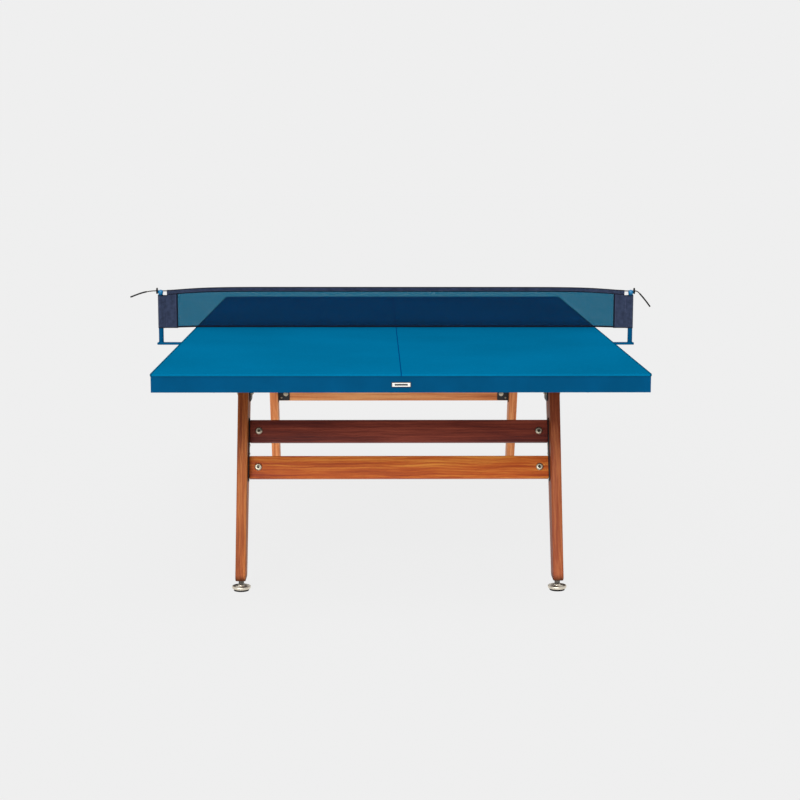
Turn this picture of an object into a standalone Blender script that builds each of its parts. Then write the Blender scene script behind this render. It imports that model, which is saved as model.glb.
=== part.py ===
"""Full-size outdoor table tennis table with timber trestle legs and a post net.

The frame: +Z is up, the floor is Z = 0, the net stands on Y = 0, and the near
end of the table is at -Y.  All sizes are metres.  A trestle is modelled once in
its own frame, whose y runs inwards from the table's end, and the far one is the
same trestle turned half a turn about Z.
"""

import math

import bmesh
import bpy
from mathutils import Matrix, Vector

# ---- overall ---------------------------------------------------------------
TABLE_LENGTH = 2.740
TABLE_WIDTH = 1.525
TABLE_HEIGHT = 0.760
FIT_GAP = 0.0003            # between faces that touch on the real table

# ---- playing surface and steel frame ---------------------------------------
PANEL_THICKNESS = 0.007
PANEL_JOINT_GAP = 0.0010    # between the two half tops, under the net
PANEL_OVERHANG = 0.0020     # the top stands this far proud of the frame
RAIL_HEIGHT = 0.050
RAIL_WIDTH = 0.025
RAIL_WALL = 0.002
CENTRE_BEAM_WIDTH = 0.050
TRESTLE_BEAM_WIDTH = 0.080
PLATE_SIZE = (0.060, 0.0010, 0.016)
PLATE_DROP = 0.033          # plate centre below the playing surface

# ---- trestles --------------------------------------------------------------
LEG_SIDE_INSET = 0.2435           # table side to the middle of a leg
LEG_THICKNESS = 0.034
LEG_BOTTOM_Z = 0.038
LEG_OUTER_INSET_BOTTOM = 0.290   # table end to the leg's outer edge, at its foot
LEG_OUTER_INSET_TOP = 0.523      # the same, under the frame
LEG_DEPTH_BOTTOM = 0.083
LEG_DEPTH_TOP = 0.146
LEG_TOE_RADIUS = 0.012
LEG_HEEL_RADIUS = 0.024
LEG_EDGE_ROUND = 0.004
PLANK_WIDTH = 0.0755
PLANK_THICKNESS = 0.024
PLANK_CENTRES_Z = {"upper": 0.4987, "lower": 0.3844}
PLANK_END_GAP = 0.0040           # plank end to the leg's inner face
PLANK_EDGE_ROUND = 0.003
BOLT_INSET = 0.034               # plank bolt to the leg's inner face
BOLT_RADIUS = 0.005
BOLT_HOLE_RADIUS = 0.0055
BOLT_HEAD_RADIUS = 0.0125
BOLT_HEAD_HEIGHT = 0.0055
BOLT_TAIL = 0.010                # shank past the bracket, for its nut
BRACKET_THICKNESS = 0.003
BRACKET_EAR_LENGTH = 0.050
BRACKET_EAR_MARGIN = 0.004       # the ear is this much narrower than its plank
BRACKET_OVERRUN = 0.008          # flange past the planks, top and bottom
SOCKET_PLATE = (0.004, 0.090, 0.110)
SOCKET_CORNER = 0.016

# ---- adjustable feet -------------------------------------------------------
FOOT_INSET = 0.335
PAD_RADIUS = 0.025
PAD_HEIGHT = 0.005
BASE_RIM_RADIUS = 0.0305
BASE_RIM_Z = (0.0095, 0.0150)
BASE_DISH_DEPTH = 0.002
HUB_RADIUS = 0.0105
HUB_TOP_Z = 0.0205
STEM_RADIUS = 0.005
STEM_TIP_Z = 0.009
HEX_ACROSS_FLATS = 0.017
HEX_Z = (0.0213, 0.0330)
STEM_TOP_Z = 0.075
STEM_BORE_RADIUS = 0.0056
STEM_BORE_DEPTH = 0.046

# ---- net -------------------------------------------------------------------
POST_OVERHANG = 0.1315           # table side to the middle of a post
POST_RADIUS = 0.009
POST_WALL = 0.0015
ARM_SIZE_Y = 0.030
ARM_THICKNESS = 0.0075
ARM_TUCK = 0.2025                # the arm reaches this far under the table
ARM_PAST_POST = 0.015
ARM_BOLT_INSET = 0.1525          # table side to the arm's bolt
ARM_BOLT_RADIUS = 0.004
ARM_BOLT_HEAD_RADIUS = 0.0075
ARM_BOLT_HEAD_HEIGHT = 0.0053
BALL_RADIUS = 0.0100
BALL_CENTRE_Z = 0.8940
BALL_SPIGOT_LENGTH = 0.015
CORD_RADIUS = 0.0020
CORD_BORE_RADIUS = 0.0025
CORD_EXIT_Z = 0.8995
NET_TOP_Z = 0.9148               # top edge of the tape in the middle
TAPE_ABOVE_CORD = 0.0036
CORD_LEVEL_LENGTH = 0.016        # the cord runs level this far inside each post
NET_DROOP_POWER = 6
NET_BOTTOM_Z = 0.7612
NET_BOTTOM_DROOP = 0.0035
TAPE_TO_POST = 0.024             # tape end to the middle of the post
TAPE_HEIGHT = 0.018
TAPE_WIDTH = 0.0074
TAPE_FOOT_WIDTH = 0.0036
TAPE_STATIONS = 16               # each side of the middle
SLEEVE_LENGTH = 0.065            # mesh end to the middle of the post
MESH_THICKNESS = 0.0016
HEM_HEIGHT = 0.006
HEM_THICKNESS = 0.0026
SLEEVE_TOP_Z = 0.8835
SLEEVE_BOTTOM_Z = 0.7580
SLEEVE_FLAP_THICKNESS = 0.0024
SLEEVE_WALL = 0.0013
SLEEVE_EASE = 0.0005             # sleeve bore over the post

# ---- cord tails, their stops and their end sleeves -------------------------
STOP_RADIUS = 0.012
STOP_THICKNESS = 0.005
STOP_WAIST = 0.0035
TIP_RADIUS = 0.0029
TIP_LENGTH = 0.065
TAIL_SPACING = 0.005
# Each tail's points from where it leaves its ball: outwards along X, then up.
TAIL_ROUTES = {
    "left": (
        (0.0000, 0.0000), (0.0040, 0.0000), (0.0080, 0.0000), (0.0150, -0.0002),
        (0.0220, -0.0006), (0.0290, -0.0013), (0.0360, -0.0023), (0.0430, -0.0035),
        (0.0500, -0.0050), (0.0570, -0.0068), (0.0640, -0.0089), (0.0710, -0.0112),
        (0.0780, -0.0137), (0.0850, -0.0163), (0.0920, -0.0190), (0.0990, -0.0218),
        (0.1042, -0.0238),
    ),
    "right": (
        (0.0000, 0.0000), (0.0040, 0.0000), (0.0080, -0.0001), (0.0120, -0.0009),
        (0.0160, -0.0028), (0.0202, -0.0061), (0.0244, -0.0104), (0.0287, -0.0152),
        (0.0330, -0.0201), (0.0374, -0.0251), (0.0420, -0.0305), (0.0467, -0.0363),
        (0.0514, -0.0423), (0.0560, -0.0483), (0.0605, -0.0543), (0.0647, -0.0601),
    ),
}

# ---- values worked out from the ones above ---------------------------------
LEG_CENTRE_X = TABLE_WIDTH / 2 - LEG_SIDE_INSET
POST_X = TABLE_WIDTH / 2 + POST_OVERHANG
ARM_INNER_X = TABLE_WIDTH / 2 - ARM_TUCK
ARM_BOLT_X = TABLE_WIDTH / 2 - ARM_BOLT_INSET
NET_LEVEL_X = POST_X - CORD_LEVEL_LENGTH
TAPE_HALF_LENGTH = POST_X - TAPE_TO_POST
MESH_HALF_LENGTH = POST_X - SLEEVE_LENGTH
FRAME_BOTTOM_Z = TABLE_HEIGHT - PANEL_THICKNESS - RAIL_HEIGHT
FRAME_TOP_Z = TABLE_HEIGHT - PANEL_THICKNESS - FIT_GAP
FRAME_HALF_X = TABLE_WIDTH / 2 - PANEL_OVERHANG
FRAME_HALF_Y = TABLE_LENGTH / 2 - PANEL_OVERHANG
LEG_TOP_Z = FRAME_BOTTOM_Z - FIT_GAP
LEG_RISE = LEG_TOP_Z - LEG_BOTTOM_Z
LEG_INNER_X = LEG_CENTRE_X - LEG_THICKNESS / 2
ARM_TOP_Z = FRAME_BOTTOM_Z - FIT_GAP
ROUND_SEGMENTS = 24
SIDES = {"left": -1, "right": 1}
ENDS = {"near": 1, "far": -1}

COLOURS = {
    "blue_laminate": ((0.003, 0.155, 0.330), 0.35, 0.0),
    "blue_steel": ((0.002, 0.088, 0.215), 0.40, 0.2),
    "dark_steel": ((0.020, 0.022, 0.026), 0.45, 0.3),
    "timber": ((0.420, 0.140, 0.060), 0.55, 0.0),
    "bolt_steel": ((0.560, 0.520, 0.450), 0.35, 1.0),
    "chrome": ((0.700, 0.700, 0.700), 0.15, 1.0),
    "rubber": ((0.015, 0.015, 0.015), 0.70, 0.0),
    "label": ((0.800, 0.800, 0.780), 0.40, 0.0),
    "blue_plastic": ((0.005, 0.220, 0.480), 0.30, 0.0),
    "net_thread": ((0.020, 0.110, 0.170), 0.80, 0.0),
    "net_tape": ((0.030, 0.042, 0.085), 0.85, 0.0),
    "cord": ((0.030, 0.028, 0.026), 0.75, 0.0),
}


# ---- helpers ---------------------------------------------------------------
def clear_scene():
    """Remove every object of the scene."""
    for obj in list(bpy.data.objects):
        bpy.data.objects.remove(obj, do_unlink=True)


def make_materials():
    """Return one Principled material for each finish, by name."""
    materials = {}
    for name, (colour, roughness, metallic) in COLOURS.items():
        material = bpy.data.materials.new(name)
        material.use_nodes = True
        shader = material.node_tree.nodes["Principled BSDF"]
        shader.inputs["Base Color"].default_value = (*colour, 1.0)
        shader.inputs["Roughness"].default_value = roughness
        shader.inputs["Metallic"].default_value = metallic
        materials[name] = material
    return materials


def make_empty(name, location, turn=0.0, parent=None):
    """Add an empty that carries an assembly, turned about Z."""
    empty = bpy.data.objects.new(name, None)
    empty.location = location
    empty.rotation_euler.z = turn
    empty.parent = parent
    bpy.context.collection.objects.link(empty)
    return empty


def make_object(name, bm, material, parent=None, location=(0, 0, 0), rotation=(0, 0, 0)):
    """Turn a bmesh into a linked object with its material and its place."""
    bmesh.ops.remove_doubles(bm, verts=bm.verts, dist=1e-6)
    bmesh.ops.recalc_face_normals(bm, faces=bm.faces)
    mesh = bpy.data.meshes.new(name)
    bm.to_mesh(mesh)
    bm.free()
    mesh.materials.append(material)
    mesh.shade_smooth()
    mesh.set_sharp_from_angle(angle=math.radians(35))
    obj = bpy.data.objects.new(name, mesh)
    obj.location = location
    obj.rotation_euler = rotation
    obj.parent = parent
    bpy.context.collection.objects.link(obj)
    return obj


def add_bevel(obj, width, segments=2):
    """Round the sharp edges of an object."""
    bevel = obj.modifiers.new("rounded_edges", "BEVEL")
    bevel.width = width
    bevel.segments = segments
    bevel.limit_method = "ANGLE"
    bevel.angle_limit = math.radians(40)


def add_boolean(obj, bm, operation="DIFFERENCE", location=(0, 0, 0), rotation=(0, 0, 0)):
    """Cut a bmesh from an object, or join it on; the cutter is a hidden guide."""
    cutter = make_object(f"{obj.name}.cutter{len(obj.modifiers)}", bm, obj.data.materials[0],
                         obj.parent, location, rotation)
    cutter.hide_render = True
    cutter.display_type = "WIRE"
    boolean = obj.modifiers.new("cut", "BOOLEAN")
    boolean.operation = operation
    boolean.object = cutter
    boolean.solver = "EXACT"


def block(low, high, bm=None):
    """Add a box between two corners."""
    bm = bm or bmesh.new()
    low, high = Vector(low), Vector(high)
    size = Matrix.Diagonal((*(high - low), 1.0))
    bmesh.ops.create_cube(bm, size=1.0, matrix=Matrix.Translation((low + high) / 2) @ size)
    return bm


def rod(radius, start, end, segments=ROUND_SEGMENTS):
    """Make a capped cylinder between two points."""
    bm = bmesh.new()
    start, end = Vector(start), Vector(end)
    along = end - start
    turn = along.to_track_quat("Z", "Y").to_matrix().to_4x4()
    bmesh.ops.create_cone(bm, cap_ends=True, segments=segments, radius1=radius, radius2=radius,
                          depth=along.length, matrix=Matrix.Translation((start + end) / 2) @ turn)
    return bm


def turned(profile, segments=ROUND_SEGMENTS, axis=(0, 0, 1), bm=None):
    """Spin an (r, z) profile about an axis; z runs along the axis."""
    bm = bm or bmesh.new()
    turn = Vector(axis).to_track_quat("Z", "Y").to_matrix()
    verts = [bm.verts.new(turn @ Vector((r, 0, z))) for r, z in profile]
    edges = [bm.edges.new(pair) for pair in zip(verts, verts[1:])]
    bmesh.ops.spin(bm, geom=verts + edges, cent=(0, 0, 0), axis=axis, angle=math.tau,
                   steps=segments, use_merge=True)
    bmesh.ops.remove_doubles(bm, verts=bm.verts, dist=1e-6)
    return bm


def extruded(outline, depth):
    """Extrude a closed outline by a vector."""
    bm = bmesh.new()
    face = bm.faces.new([bm.verts.new(point) for point in outline])
    moved = bmesh.ops.extrude_face_region(bm, geom=[face])
    verts = [item for item in moved["geom"] if isinstance(item, bmesh.types.BMVert)]
    bmesh.ops.translate(bm, verts=verts, vec=depth)
    return bm


def bridged(rings, closed_tube=True):
    """Skin successive equal rings; the end rings are capped unless it is a tube."""
    bm = bmesh.new()
    loops = [[bm.verts.new(point) for point in ring] for ring in rings]
    pairs = list(zip(loops, loops[1:]))
    if closed_tube:
        pairs.append((loops[-1], loops[0]))
    else:
        bm.faces.new(loops[0])
        bm.faces.new(loops[-1])
    for low, high in pairs:
        count = len(low)
        for i in range(count):
            j = (i + 1) % count
            bm.faces.new((low[i], low[j], high[j], high[i]))
    return bm


def arc(centre, radius, start, end, steps):
    """Points on a circular arc, angles in degrees."""
    points = []
    for i in range(steps + 1):
        angle = math.radians(start + (end - start) * i / steps)
        points.append((centre[0] + radius * math.cos(angle), centre[1] + radius * math.sin(angle)))
    return points


def smooth_curve(points, spacing):
    """Points a fixed distance apart on a Catmull-Rom curve through the given ones."""
    points = [Vector(point) for point in points]
    guides = [2 * points[0] - points[1], *points, 2 * points[-1] - points[-2]]
    fine = []
    for a, b, c, d in zip(guides, guides[1:], guides[2:], guides[3:]):
        for i in range(20):
            t = i / 20
            fine.append(0.5 * (2 * b + (c - a) * t + (2 * a - 5 * b + 4 * c - d) * t ** 2
                               + (3 * b - a - 3 * c + d) * t ** 3))
    fine.append(points[-1])
    length = sum((b - a).length for a, b in zip(fine, fine[1:]))
    steps = max(2, round(length / spacing))
    even, walked, target = [fine[0]], 0.0, length / steps
    for a, b in zip(fine, fine[1:]):
        piece = (b - a).length
        while walked + piece >= target and len(even) < steps:
            even.append(a.lerp(b, (target - walked) / piece))
            target += length / steps
        walked += piece
    even.append(fine[-1])
    return even


def make_cord(name, points, radius, material, parent):
    """A round cord along the points, as a curve with filled caps."""
    curve = bpy.data.curves.new(name, "CURVE")
    curve.dimensions = "3D"
    curve.bevel_depth = radius
    curve.bevel_resolution = 2
    curve.use_fill_caps = True
    spline = curve.splines.new("POLY")
    spline.points.add(len(points) - 1)
    for slot, point in zip(spline.points, points):
        slot.co = (*point, 1.0)
    curve.materials.append(material)
    obj = bpy.data.objects.new(name, curve)
    obj.parent = parent
    bpy.context.collection.objects.link(obj)
    return obj


# ---- table top and frame ---------------------------------------------------
def make_top(materials):
    """Two laminate half tops that meet under the net."""
    half_width = TABLE_WIDTH / 2
    for end, sign in ENDS.items():
        start = PANEL_JOINT_GAP / 2
        low = (-half_width, start, TABLE_HEIGHT - PANEL_THICKNESS)
        high = (half_width, TABLE_LENGTH / 2, TABLE_HEIGHT)
        turn = math.pi if sign > 0 else 0.0
        make_object(f"top_panel_{end}", block(low, high), materials["blue_laminate"],
                    rotation=(0, 0, turn))


def rectangle_ring(low, high):
    """The four corners of a rectangle, in order."""
    return [(low[0], low[1]), (high[0], low[1]), (high[0], high[1]), (low[0], high[1])]


def mitred_tube(half_length, width, wall, mitre=True):
    """A rectangular tube along X with its outer face at y = 0, its ends mitred or square."""
    low, high = (0.0, FRAME_BOTTOM_Z), (width, FRAME_TOP_Z)
    outer = rectangle_ring(low, high)
    inner = rectangle_ring((low[0] + wall, low[1] + wall), (high[0] - wall, high[1] - wall))
    rings = []
    for section, sign in ((outer, -1), (outer, 1), (inner, 1), (inner, -1)):
        ring = []
        for y, z in section:
            reach = half_length - (y if mitre else 0.0)
            ring.append((sign * reach, y, z))
        rings.append(ring)
    return bridged(rings)


def make_rails(materials):
    """The four rails of the frame, mitred at its corners."""
    corner_gap = FIT_GAP
    steel = materials["blue_steel"]
    ends = {"end_rail_near": (0, -FRAME_HALF_Y, 0), "end_rail_far": (math.pi, FRAME_HALF_Y, 0)}
    for name, (turn, y, _) in ends.items():
        tube = mitred_tube(FRAME_HALF_X - corner_gap, RAIL_WIDTH, RAIL_WALL)
        make_object(name, tube, steel, location=(0, y, 0), rotation=(0, 0, turn))
    for side, sign in SIDES.items():
        tube = mitred_tube(FRAME_HALF_Y - corner_gap, RAIL_WIDTH, RAIL_WALL)
        make_object(f"side_rail_{side}", tube, steel, location=(sign * FRAME_HALF_X, 0, 0),
                    rotation=(0, 0, sign * math.pi / 2))


def beam_half_length():
    """Half the clear width between the side rails."""
    return FRAME_HALF_X - RAIL_WIDTH - FIT_GAP


def make_centre_beam(materials):
    """The cross tube under the joint of the half tops."""
    tube = mitred_tube(beam_half_length(), CENTRE_BEAM_WIDTH, RAIL_WALL, mitre=False)
    beam = make_object("centre_beam", tube, materials["dark_steel"],
                       location=(0, -CENTRE_BEAM_WIDTH / 2, 0))
    for sign in SIDES.values():
        low = (sign * ARM_BOLT_X, CENTRE_BEAM_WIDTH / 2, FRAME_BOTTOM_Z - RAIL_WALL)
        high = (low[0], low[1], FRAME_BOTTOM_Z + 2 * RAIL_WALL)
        add_boolean(beam, rod(ARM_BOLT_RADIUS + FIT_GAP, low, high, 16), location=beam.location)


def make_plate(materials):
    """A blank plate in the middle of the near rail."""
    width, depth, height = PLATE_SIZE
    face = -FRAME_HALF_Y - FIT_GAP
    middle = TABLE_HEIGHT - PLATE_DROP
    low = (-width / 2, face - depth, middle - height / 2)
    high = (width / 2, face, middle + height / 2)
    make_object("maker_plate", block(low, high), materials["label"])


# ---- trestles --------------------------------------------------------------
def leg_inset(z, edge):
    """Distance from the table end to a leg edge at height z; edge 0 is outer, 1 inner."""
    share = (z - LEG_BOTTOM_Z) / LEG_RISE
    outer = LEG_OUTER_INSET_BOTTOM + share * (LEG_OUTER_INSET_TOP - LEG_OUTER_INSET_BOTTOM)
    depth = LEG_DEPTH_BOTTOM + share * (LEG_DEPTH_TOP - LEG_DEPTH_BOTTOM)
    return outer + edge * depth


def trestle_lean():
    """Angle of the legs' centre line from the vertical."""
    return math.atan2(leg_inset(LEG_TOP_Z, 0.5) - leg_inset(LEG_BOTTOM_Z, 0.5), LEG_RISE)


def leg_outline():
    """Side outline of a leg in the trestle's (y, z) plane, its foot corners rounded."""
    toe, heel = LEG_TOE_RADIUS, LEG_HEEL_RADIUS
    toe_lean = math.degrees(math.atan2(leg_inset(LEG_TOP_Z, 0) - leg_inset(LEG_BOTTOM_Z, 0), LEG_RISE))
    heel_lean = math.degrees(math.atan2(leg_inset(LEG_TOP_Z, 1) - leg_inset(LEG_BOTTOM_Z, 1), LEG_RISE))
    toe_centre = (leg_inset(LEG_BOTTOM_Z + toe, 0) + toe / math.cos(math.radians(toe_lean)),
                  LEG_BOTTOM_Z + toe)
    heel_centre = (leg_inset(LEG_BOTTOM_Z + heel, 1) - heel / math.cos(math.radians(heel_lean)),
                   LEG_BOTTOM_Z + heel)
    points = [(leg_inset(LEG_TOP_Z, 1), LEG_TOP_Z), (leg_inset(LEG_TOP_Z, 0), LEG_TOP_Z)]
    points += arc(toe_centre, toe, 180 - toe_lean, 270, 4)
    points += arc(heel_centre, heel, 270, 360 - heel_lean, 5)
    return points


def make_leg(name, x, parent, materials):
    """A tapered board with a blind bore for its foot's stem."""
    half = LEG_THICKNESS / 2
    outline = [(-half, y, z) for y, z in leg_outline()]
    leg = make_object(name, extruded(outline, (LEG_THICKNESS, 0, 0)), materials["timber"],
                      parent, (x, 0, 0))
    add_bevel(leg, LEG_EDGE_ROUND)
    start = (0, FOOT_INSET, LEG_BOTTOM_Z - LEG_EDGE_ROUND)
    end = (0, FOOT_INSET, LEG_BOTTOM_Z + STEM_BORE_DEPTH)
    add_boolean(leg, rod(STEM_BORE_RADIUS, start, end), location=(x, 0, 0))


def plank_half_length():
    """Half the length of a plank between the legs."""
    return LEG_INNER_X - PLANK_END_GAP


def bolt_xs():
    """Places of a plank's two bolts along its length."""
    return {side: sign * (LEG_INNER_X - BOLT_INSET) for side, sign in SIDES.items()}


def make_plank(name, z, parent, materials):
    """A plank between the legs, in their leaning mid plane, drilled for its bolts."""
    half = Vector((plank_half_length(), PLANK_THICKNESS / 2, PLANK_WIDTH / 2))
    place = (0, leg_inset(z, 0.5), z)
    lean = (-trestle_lean(), 0, 0)
    plank = make_object(name, block(-half, half), materials["timber"], parent, place, lean)
    add_bevel(plank, PLANK_EDGE_ROUND)
    for x in bolt_xs().values():
        hole = rod(BOLT_HOLE_RADIUS, (x, -PLANK_THICKNESS, 0), (x, PLANK_THICKNESS, 0), 16)
        add_boolean(plank, hole, location=place, rotation=lean)


def bracket_rows():
    """Plank centres measured up the slope from the lower plank, lowest first."""
    low, high = sorted(PLANK_CENTRES_Z.values())
    return 0.0, (high - low) / math.cos(trestle_lean())


def make_bracket(name, side_sign, parent, materials):
    """A folded plate: a flange on the leg and an ear behind each plank."""
    lower_z = min(PLANK_CENTRES_Z.values())
    place = (0, leg_inset(lower_z, 0.5), lower_z)
    lean = (-trestle_lean(), 0, 0)
    rows = bracket_rows()
    half_plank = PLANK_WIDTH / 2
    wall_x = LEG_INNER_X - FIT_GAP
    inner_x = wall_x - BRACKET_THICKNESS
    back = PLANK_THICKNESS / 2 + FIT_GAP
    steel = materials["dark_steel"]

    def span(low, high):
        """A box whose x is mirrored for the left side."""
        xs = sorted((side_sign * low[0], side_sign * high[0]))
        return block((xs[0], low[1], low[2]), (xs[1], high[1], high[2]))

    flange = span((inner_x, -PLANK_THICKNESS / 2, rows[0] - half_plank - BRACKET_OVERRUN),
                  (wall_x, back + BRACKET_THICKNESS, rows[1] + half_plank + BRACKET_OVERRUN))
    bracket = make_object(name, flange, steel, parent, place, lean)
    ear_half = half_plank - BRACKET_EAR_MARGIN
    for row in rows:
        ear = span((wall_x - BRACKET_EAR_LENGTH, back, row - ear_half),
                   (inner_x + BRACKET_THICKNESS / 2, back + BRACKET_THICKNESS, row + ear_half))
        add_boolean(bracket, ear, "UNION", place, lean)
    bolt_x = side_sign * (LEG_INNER_X - BOLT_INSET)
    for row in rows:
        hole = rod(BOLT_HOLE_RADIUS, (bolt_x, back - BRACKET_THICKNESS, row),
                   (bolt_x, back + 2 * BRACKET_THICKNESS, row), 16)
        add_boolean(bracket, hole, location=place, rotation=lean)


def make_plank_bolt(name, x, z, parent, materials):
    """A button-head bolt through a plank and its bracket ear."""
    head = -PLANK_THICKNESS / 2 - FIT_GAP
    tail = PLANK_THICKNESS / 2 + FIT_GAP + BRACKET_THICKNESS + BOLT_TAIL
    top = head - BOLT_HEAD_HEIGHT
    profile = [(0, top), (BOLT_HEAD_RADIUS * 0.62, top), (BOLT_HEAD_RADIUS * 0.9, top + 0.0012),
               (BOLT_HEAD_RADIUS, top + 0.0032), (BOLT_HEAD_RADIUS, head), (BOLT_RADIUS, head),
               (BOLT_RADIUS, tail), (0, tail)]
    make_object(name, turned(profile, 16, (0, 1, 0)), materials["bolt_steel"], parent,
                (x, leg_inset(z, 0.5), z), (-trestle_lean(), 0, 0))


def make_trestle_beam(name, parent, materials):
    """The cross tube over a pair of legs, with the welded plates that hold them."""
    middle = leg_inset(LEG_TOP_Z, 0.5)
    place = (0, middle - TRESTLE_BEAM_WIDTH / 2, 0)
    tube = mitred_tube(beam_half_length(), TRESTLE_BEAM_WIDTH, RAIL_WALL, mitre=False)
    beam = make_object(name, tube, materials["dark_steel"], parent, place)
    thickness, depth, height = SOCKET_PLATE
    corner = SOCKET_CORNER
    top, bottom = FRAME_BOTTOM_Z + RAIL_WALL / 2, FRAME_BOTTOM_Z - height
    outline = [(depth / 2, top), (-depth / 2, top)]
    outline += arc((-depth / 2 + corner, bottom + corner), corner, 180, 270, 4)
    outline += arc((depth / 2 - corner, bottom + corner), corner, 270, 360, 4)
    for sign in SIDES.values():
        for face in (-1, 1):
            inner = sign * LEG_CENTRE_X + face * (LEG_THICKNESS / 2 + FIT_GAP)
            plate = extruded([(inner, y, z) for y, z in outline], (face * thickness, 0, 0))
            add_boolean(beam, plate, "UNION", (0, middle, 0))


# ---- feet ------------------------------------------------------------------
def make_foot(label, x, trestle, materials):
    """Rubber pad, metal base and hex-headed stem, on the foot's own axis."""
    axis = make_empty(f"foot_axis_{label}", (x, FOOT_INSET, 0), parent=trestle)
    pad = [(0, 0), (PAD_RADIUS - 0.001, 0), (PAD_RADIUS, 0.001), (PAD_RADIUS, PAD_HEIGHT), (0, PAD_HEIGHT)]
    make_object(f"foot_pad_{label}", turned(pad), materials["rubber"], axis)

    floor = PAD_HEIGHT + FIT_GAP
    rim_low, rim_high = BASE_RIM_Z
    socket = STEM_RADIUS + FIT_GAP
    seat = STEM_TIP_Z - FIT_GAP
    base = [(0, floor), (PAD_RADIUS, floor), (BASE_RIM_RADIUS, rim_low), (BASE_RIM_RADIUS, rim_high),
            (BASE_RIM_RADIUS - 0.0015, rim_high + 0.001), (BASE_RIM_RADIUS * 0.72, rim_high - BASE_DISH_DEPTH),
            (HUB_RADIUS, rim_high), (HUB_RADIUS - 0.001, HUB_TOP_Z - 0.0015), (HUB_RADIUS - 0.0025, HUB_TOP_Z),
            (socket, HUB_TOP_Z), (socket, seat), (0, seat)]
    make_object(f"foot_base_{label}", turned(base), materials["chrome"], axis)

    hex_low, hex_high = HEX_Z
    stem = turned([(0, STEM_TIP_Z), (STEM_RADIUS - 0.001, STEM_TIP_Z), (STEM_RADIUS, STEM_TIP_Z + 0.001),
                   (STEM_RADIUS, STEM_TOP_Z - 0.001), (STEM_RADIUS - 0.001, STEM_TOP_Z), (0, STEM_TOP_Z)], 12)
    obj = make_object(f"foot_stem_{label}", stem, materials["chrome"], axis)
    corner = HEX_ACROSS_FLATS / math.sqrt(3)
    add_boolean(obj, rod(corner, (0, 0, hex_low), (0, 0, hex_high), 6), "UNION")


def make_trestle(end, materials):
    """One pair of legs with everything that is bolted to it."""
    sign = ENDS[end]
    turn = 0.0 if sign > 0 else math.pi
    trestle = make_empty(f"trestle_{end}", (0, -sign * TABLE_LENGTH / 2, 0), turn)
    make_trestle_beam(f"trestle_beam_{end}", trestle, materials)
    for row, z in PLANK_CENTRES_Z.items():
        make_plank(f"plank_{end}_{row}", z, trestle, materials)
    for side, side_sign in SIDES.items():
        local = side_sign * sign
        make_leg(f"leg_{end}_{side}", local * LEG_CENTRE_X, trestle, materials)
        make_bracket(f"plank_bracket_{end}_{side}", local, trestle, materials)
        make_foot(f"{end}_{side}", local * LEG_CENTRE_X, trestle, materials)
        for row, z in PLANK_CENTRES_Z.items():
            make_plank_bolt(f"plank_bolt_{end}_{row}_{side}", local * (LEG_INNER_X - BOLT_INSET), z,
                            trestle, materials)


# ---- net -------------------------------------------------------------------
def net_drop(x):
    """How far the net's top edge hangs below its middle height at x."""
    level_drop = NET_TOP_Z - TAPE_ABOVE_CORD - CORD_EXIT_Z
    share = min(1.0, abs(x) / NET_LEVEL_X) ** NET_DROOP_POWER
    return level_drop * share * share * (3 - 2 * share)


def tape_bottom(x):
    """Height of the tape's lower edge at x."""
    return NET_TOP_Z - TAPE_HEIGHT - net_drop(x)


def net_bottom(x):
    """Height of the net's lower edge at x: level over the table, drooping past it."""
    past = max(0.0, abs(x) - TABLE_WIDTH / 2) / (POST_X - TABLE_WIDTH / 2)
    return NET_BOTTOM_Z - NET_BOTTOM_DROOP * min(1.0, past)


def net_stations(half_length):
    """Places across the net, closer together towards its ends."""
    steps = range(-TAPE_STATIONS, TAPE_STATIONS + 1)
    return [half_length * math.sin(math.pi / 2 * i / TAPE_STATIONS) for i in steps]


def strip(half_length, low_edge, high_edge, thickness):
    """A flat band across the net between two edges given as functions of x."""
    half = thickness / 2
    rings = []
    for x in net_stations(half_length):
        low, high = low_edge(x), high_edge(x)
        rings.append([(x, -half, low), (x, half, low), (x, half, high), (x, -half, high)])
    return bridged(rings, closed_tube=False)


def make_net_cloth(materials):
    """The net's mesh field, its hem, and the tape that carries the cord."""
    mesh = strip(MESH_HALF_LENGTH - FIT_GAP, lambda x: net_bottom(x) + HEM_HEIGHT + FIT_GAP,
                 lambda x: tape_bottom(x) - FIT_GAP, MESH_THICKNESS)
    make_object("net_mesh", mesh, materials["net_thread"])
    hem = strip(MESH_HALF_LENGTH - FIT_GAP, net_bottom, lambda x: net_bottom(x) + HEM_HEIGHT, HEM_THICKNESS)
    make_object("net_bottom_hem", hem, materials["net_tape"])

    wide, foot, bore = TAPE_WIDTH / 2, TAPE_FOOT_WIDTH / 2, CORD_BORE_RADIUS
    crown = wide * 0.55
    rings = []
    stations = net_stations(TAPE_HALF_LENGTH)
    for x in stations:
        top, low = NET_TOP_Z - net_drop(x), tape_bottom(x)
        cord = top - TAPE_ABOVE_CORD
        rings.append([(x, -crown, top), (x, crown, top), (x, wide, cord),
                      (x, foot, low), (x, -foot, low), (x, -wide, cord)])
    for x in reversed(stations):
        cord = NET_TOP_Z - net_drop(x) - TAPE_ABOVE_CORD
        tunnel = [(bore * math.sin(math.radians(a)), bore * math.cos(math.radians(a)))
                  for a in (-30, 30, 90, 150, 210, 270)]
        rings.append([(x, y, cord + z) for y, z in tunnel])
    make_object("net_top_tape", bridged(rings), materials["net_tape"])


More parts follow.
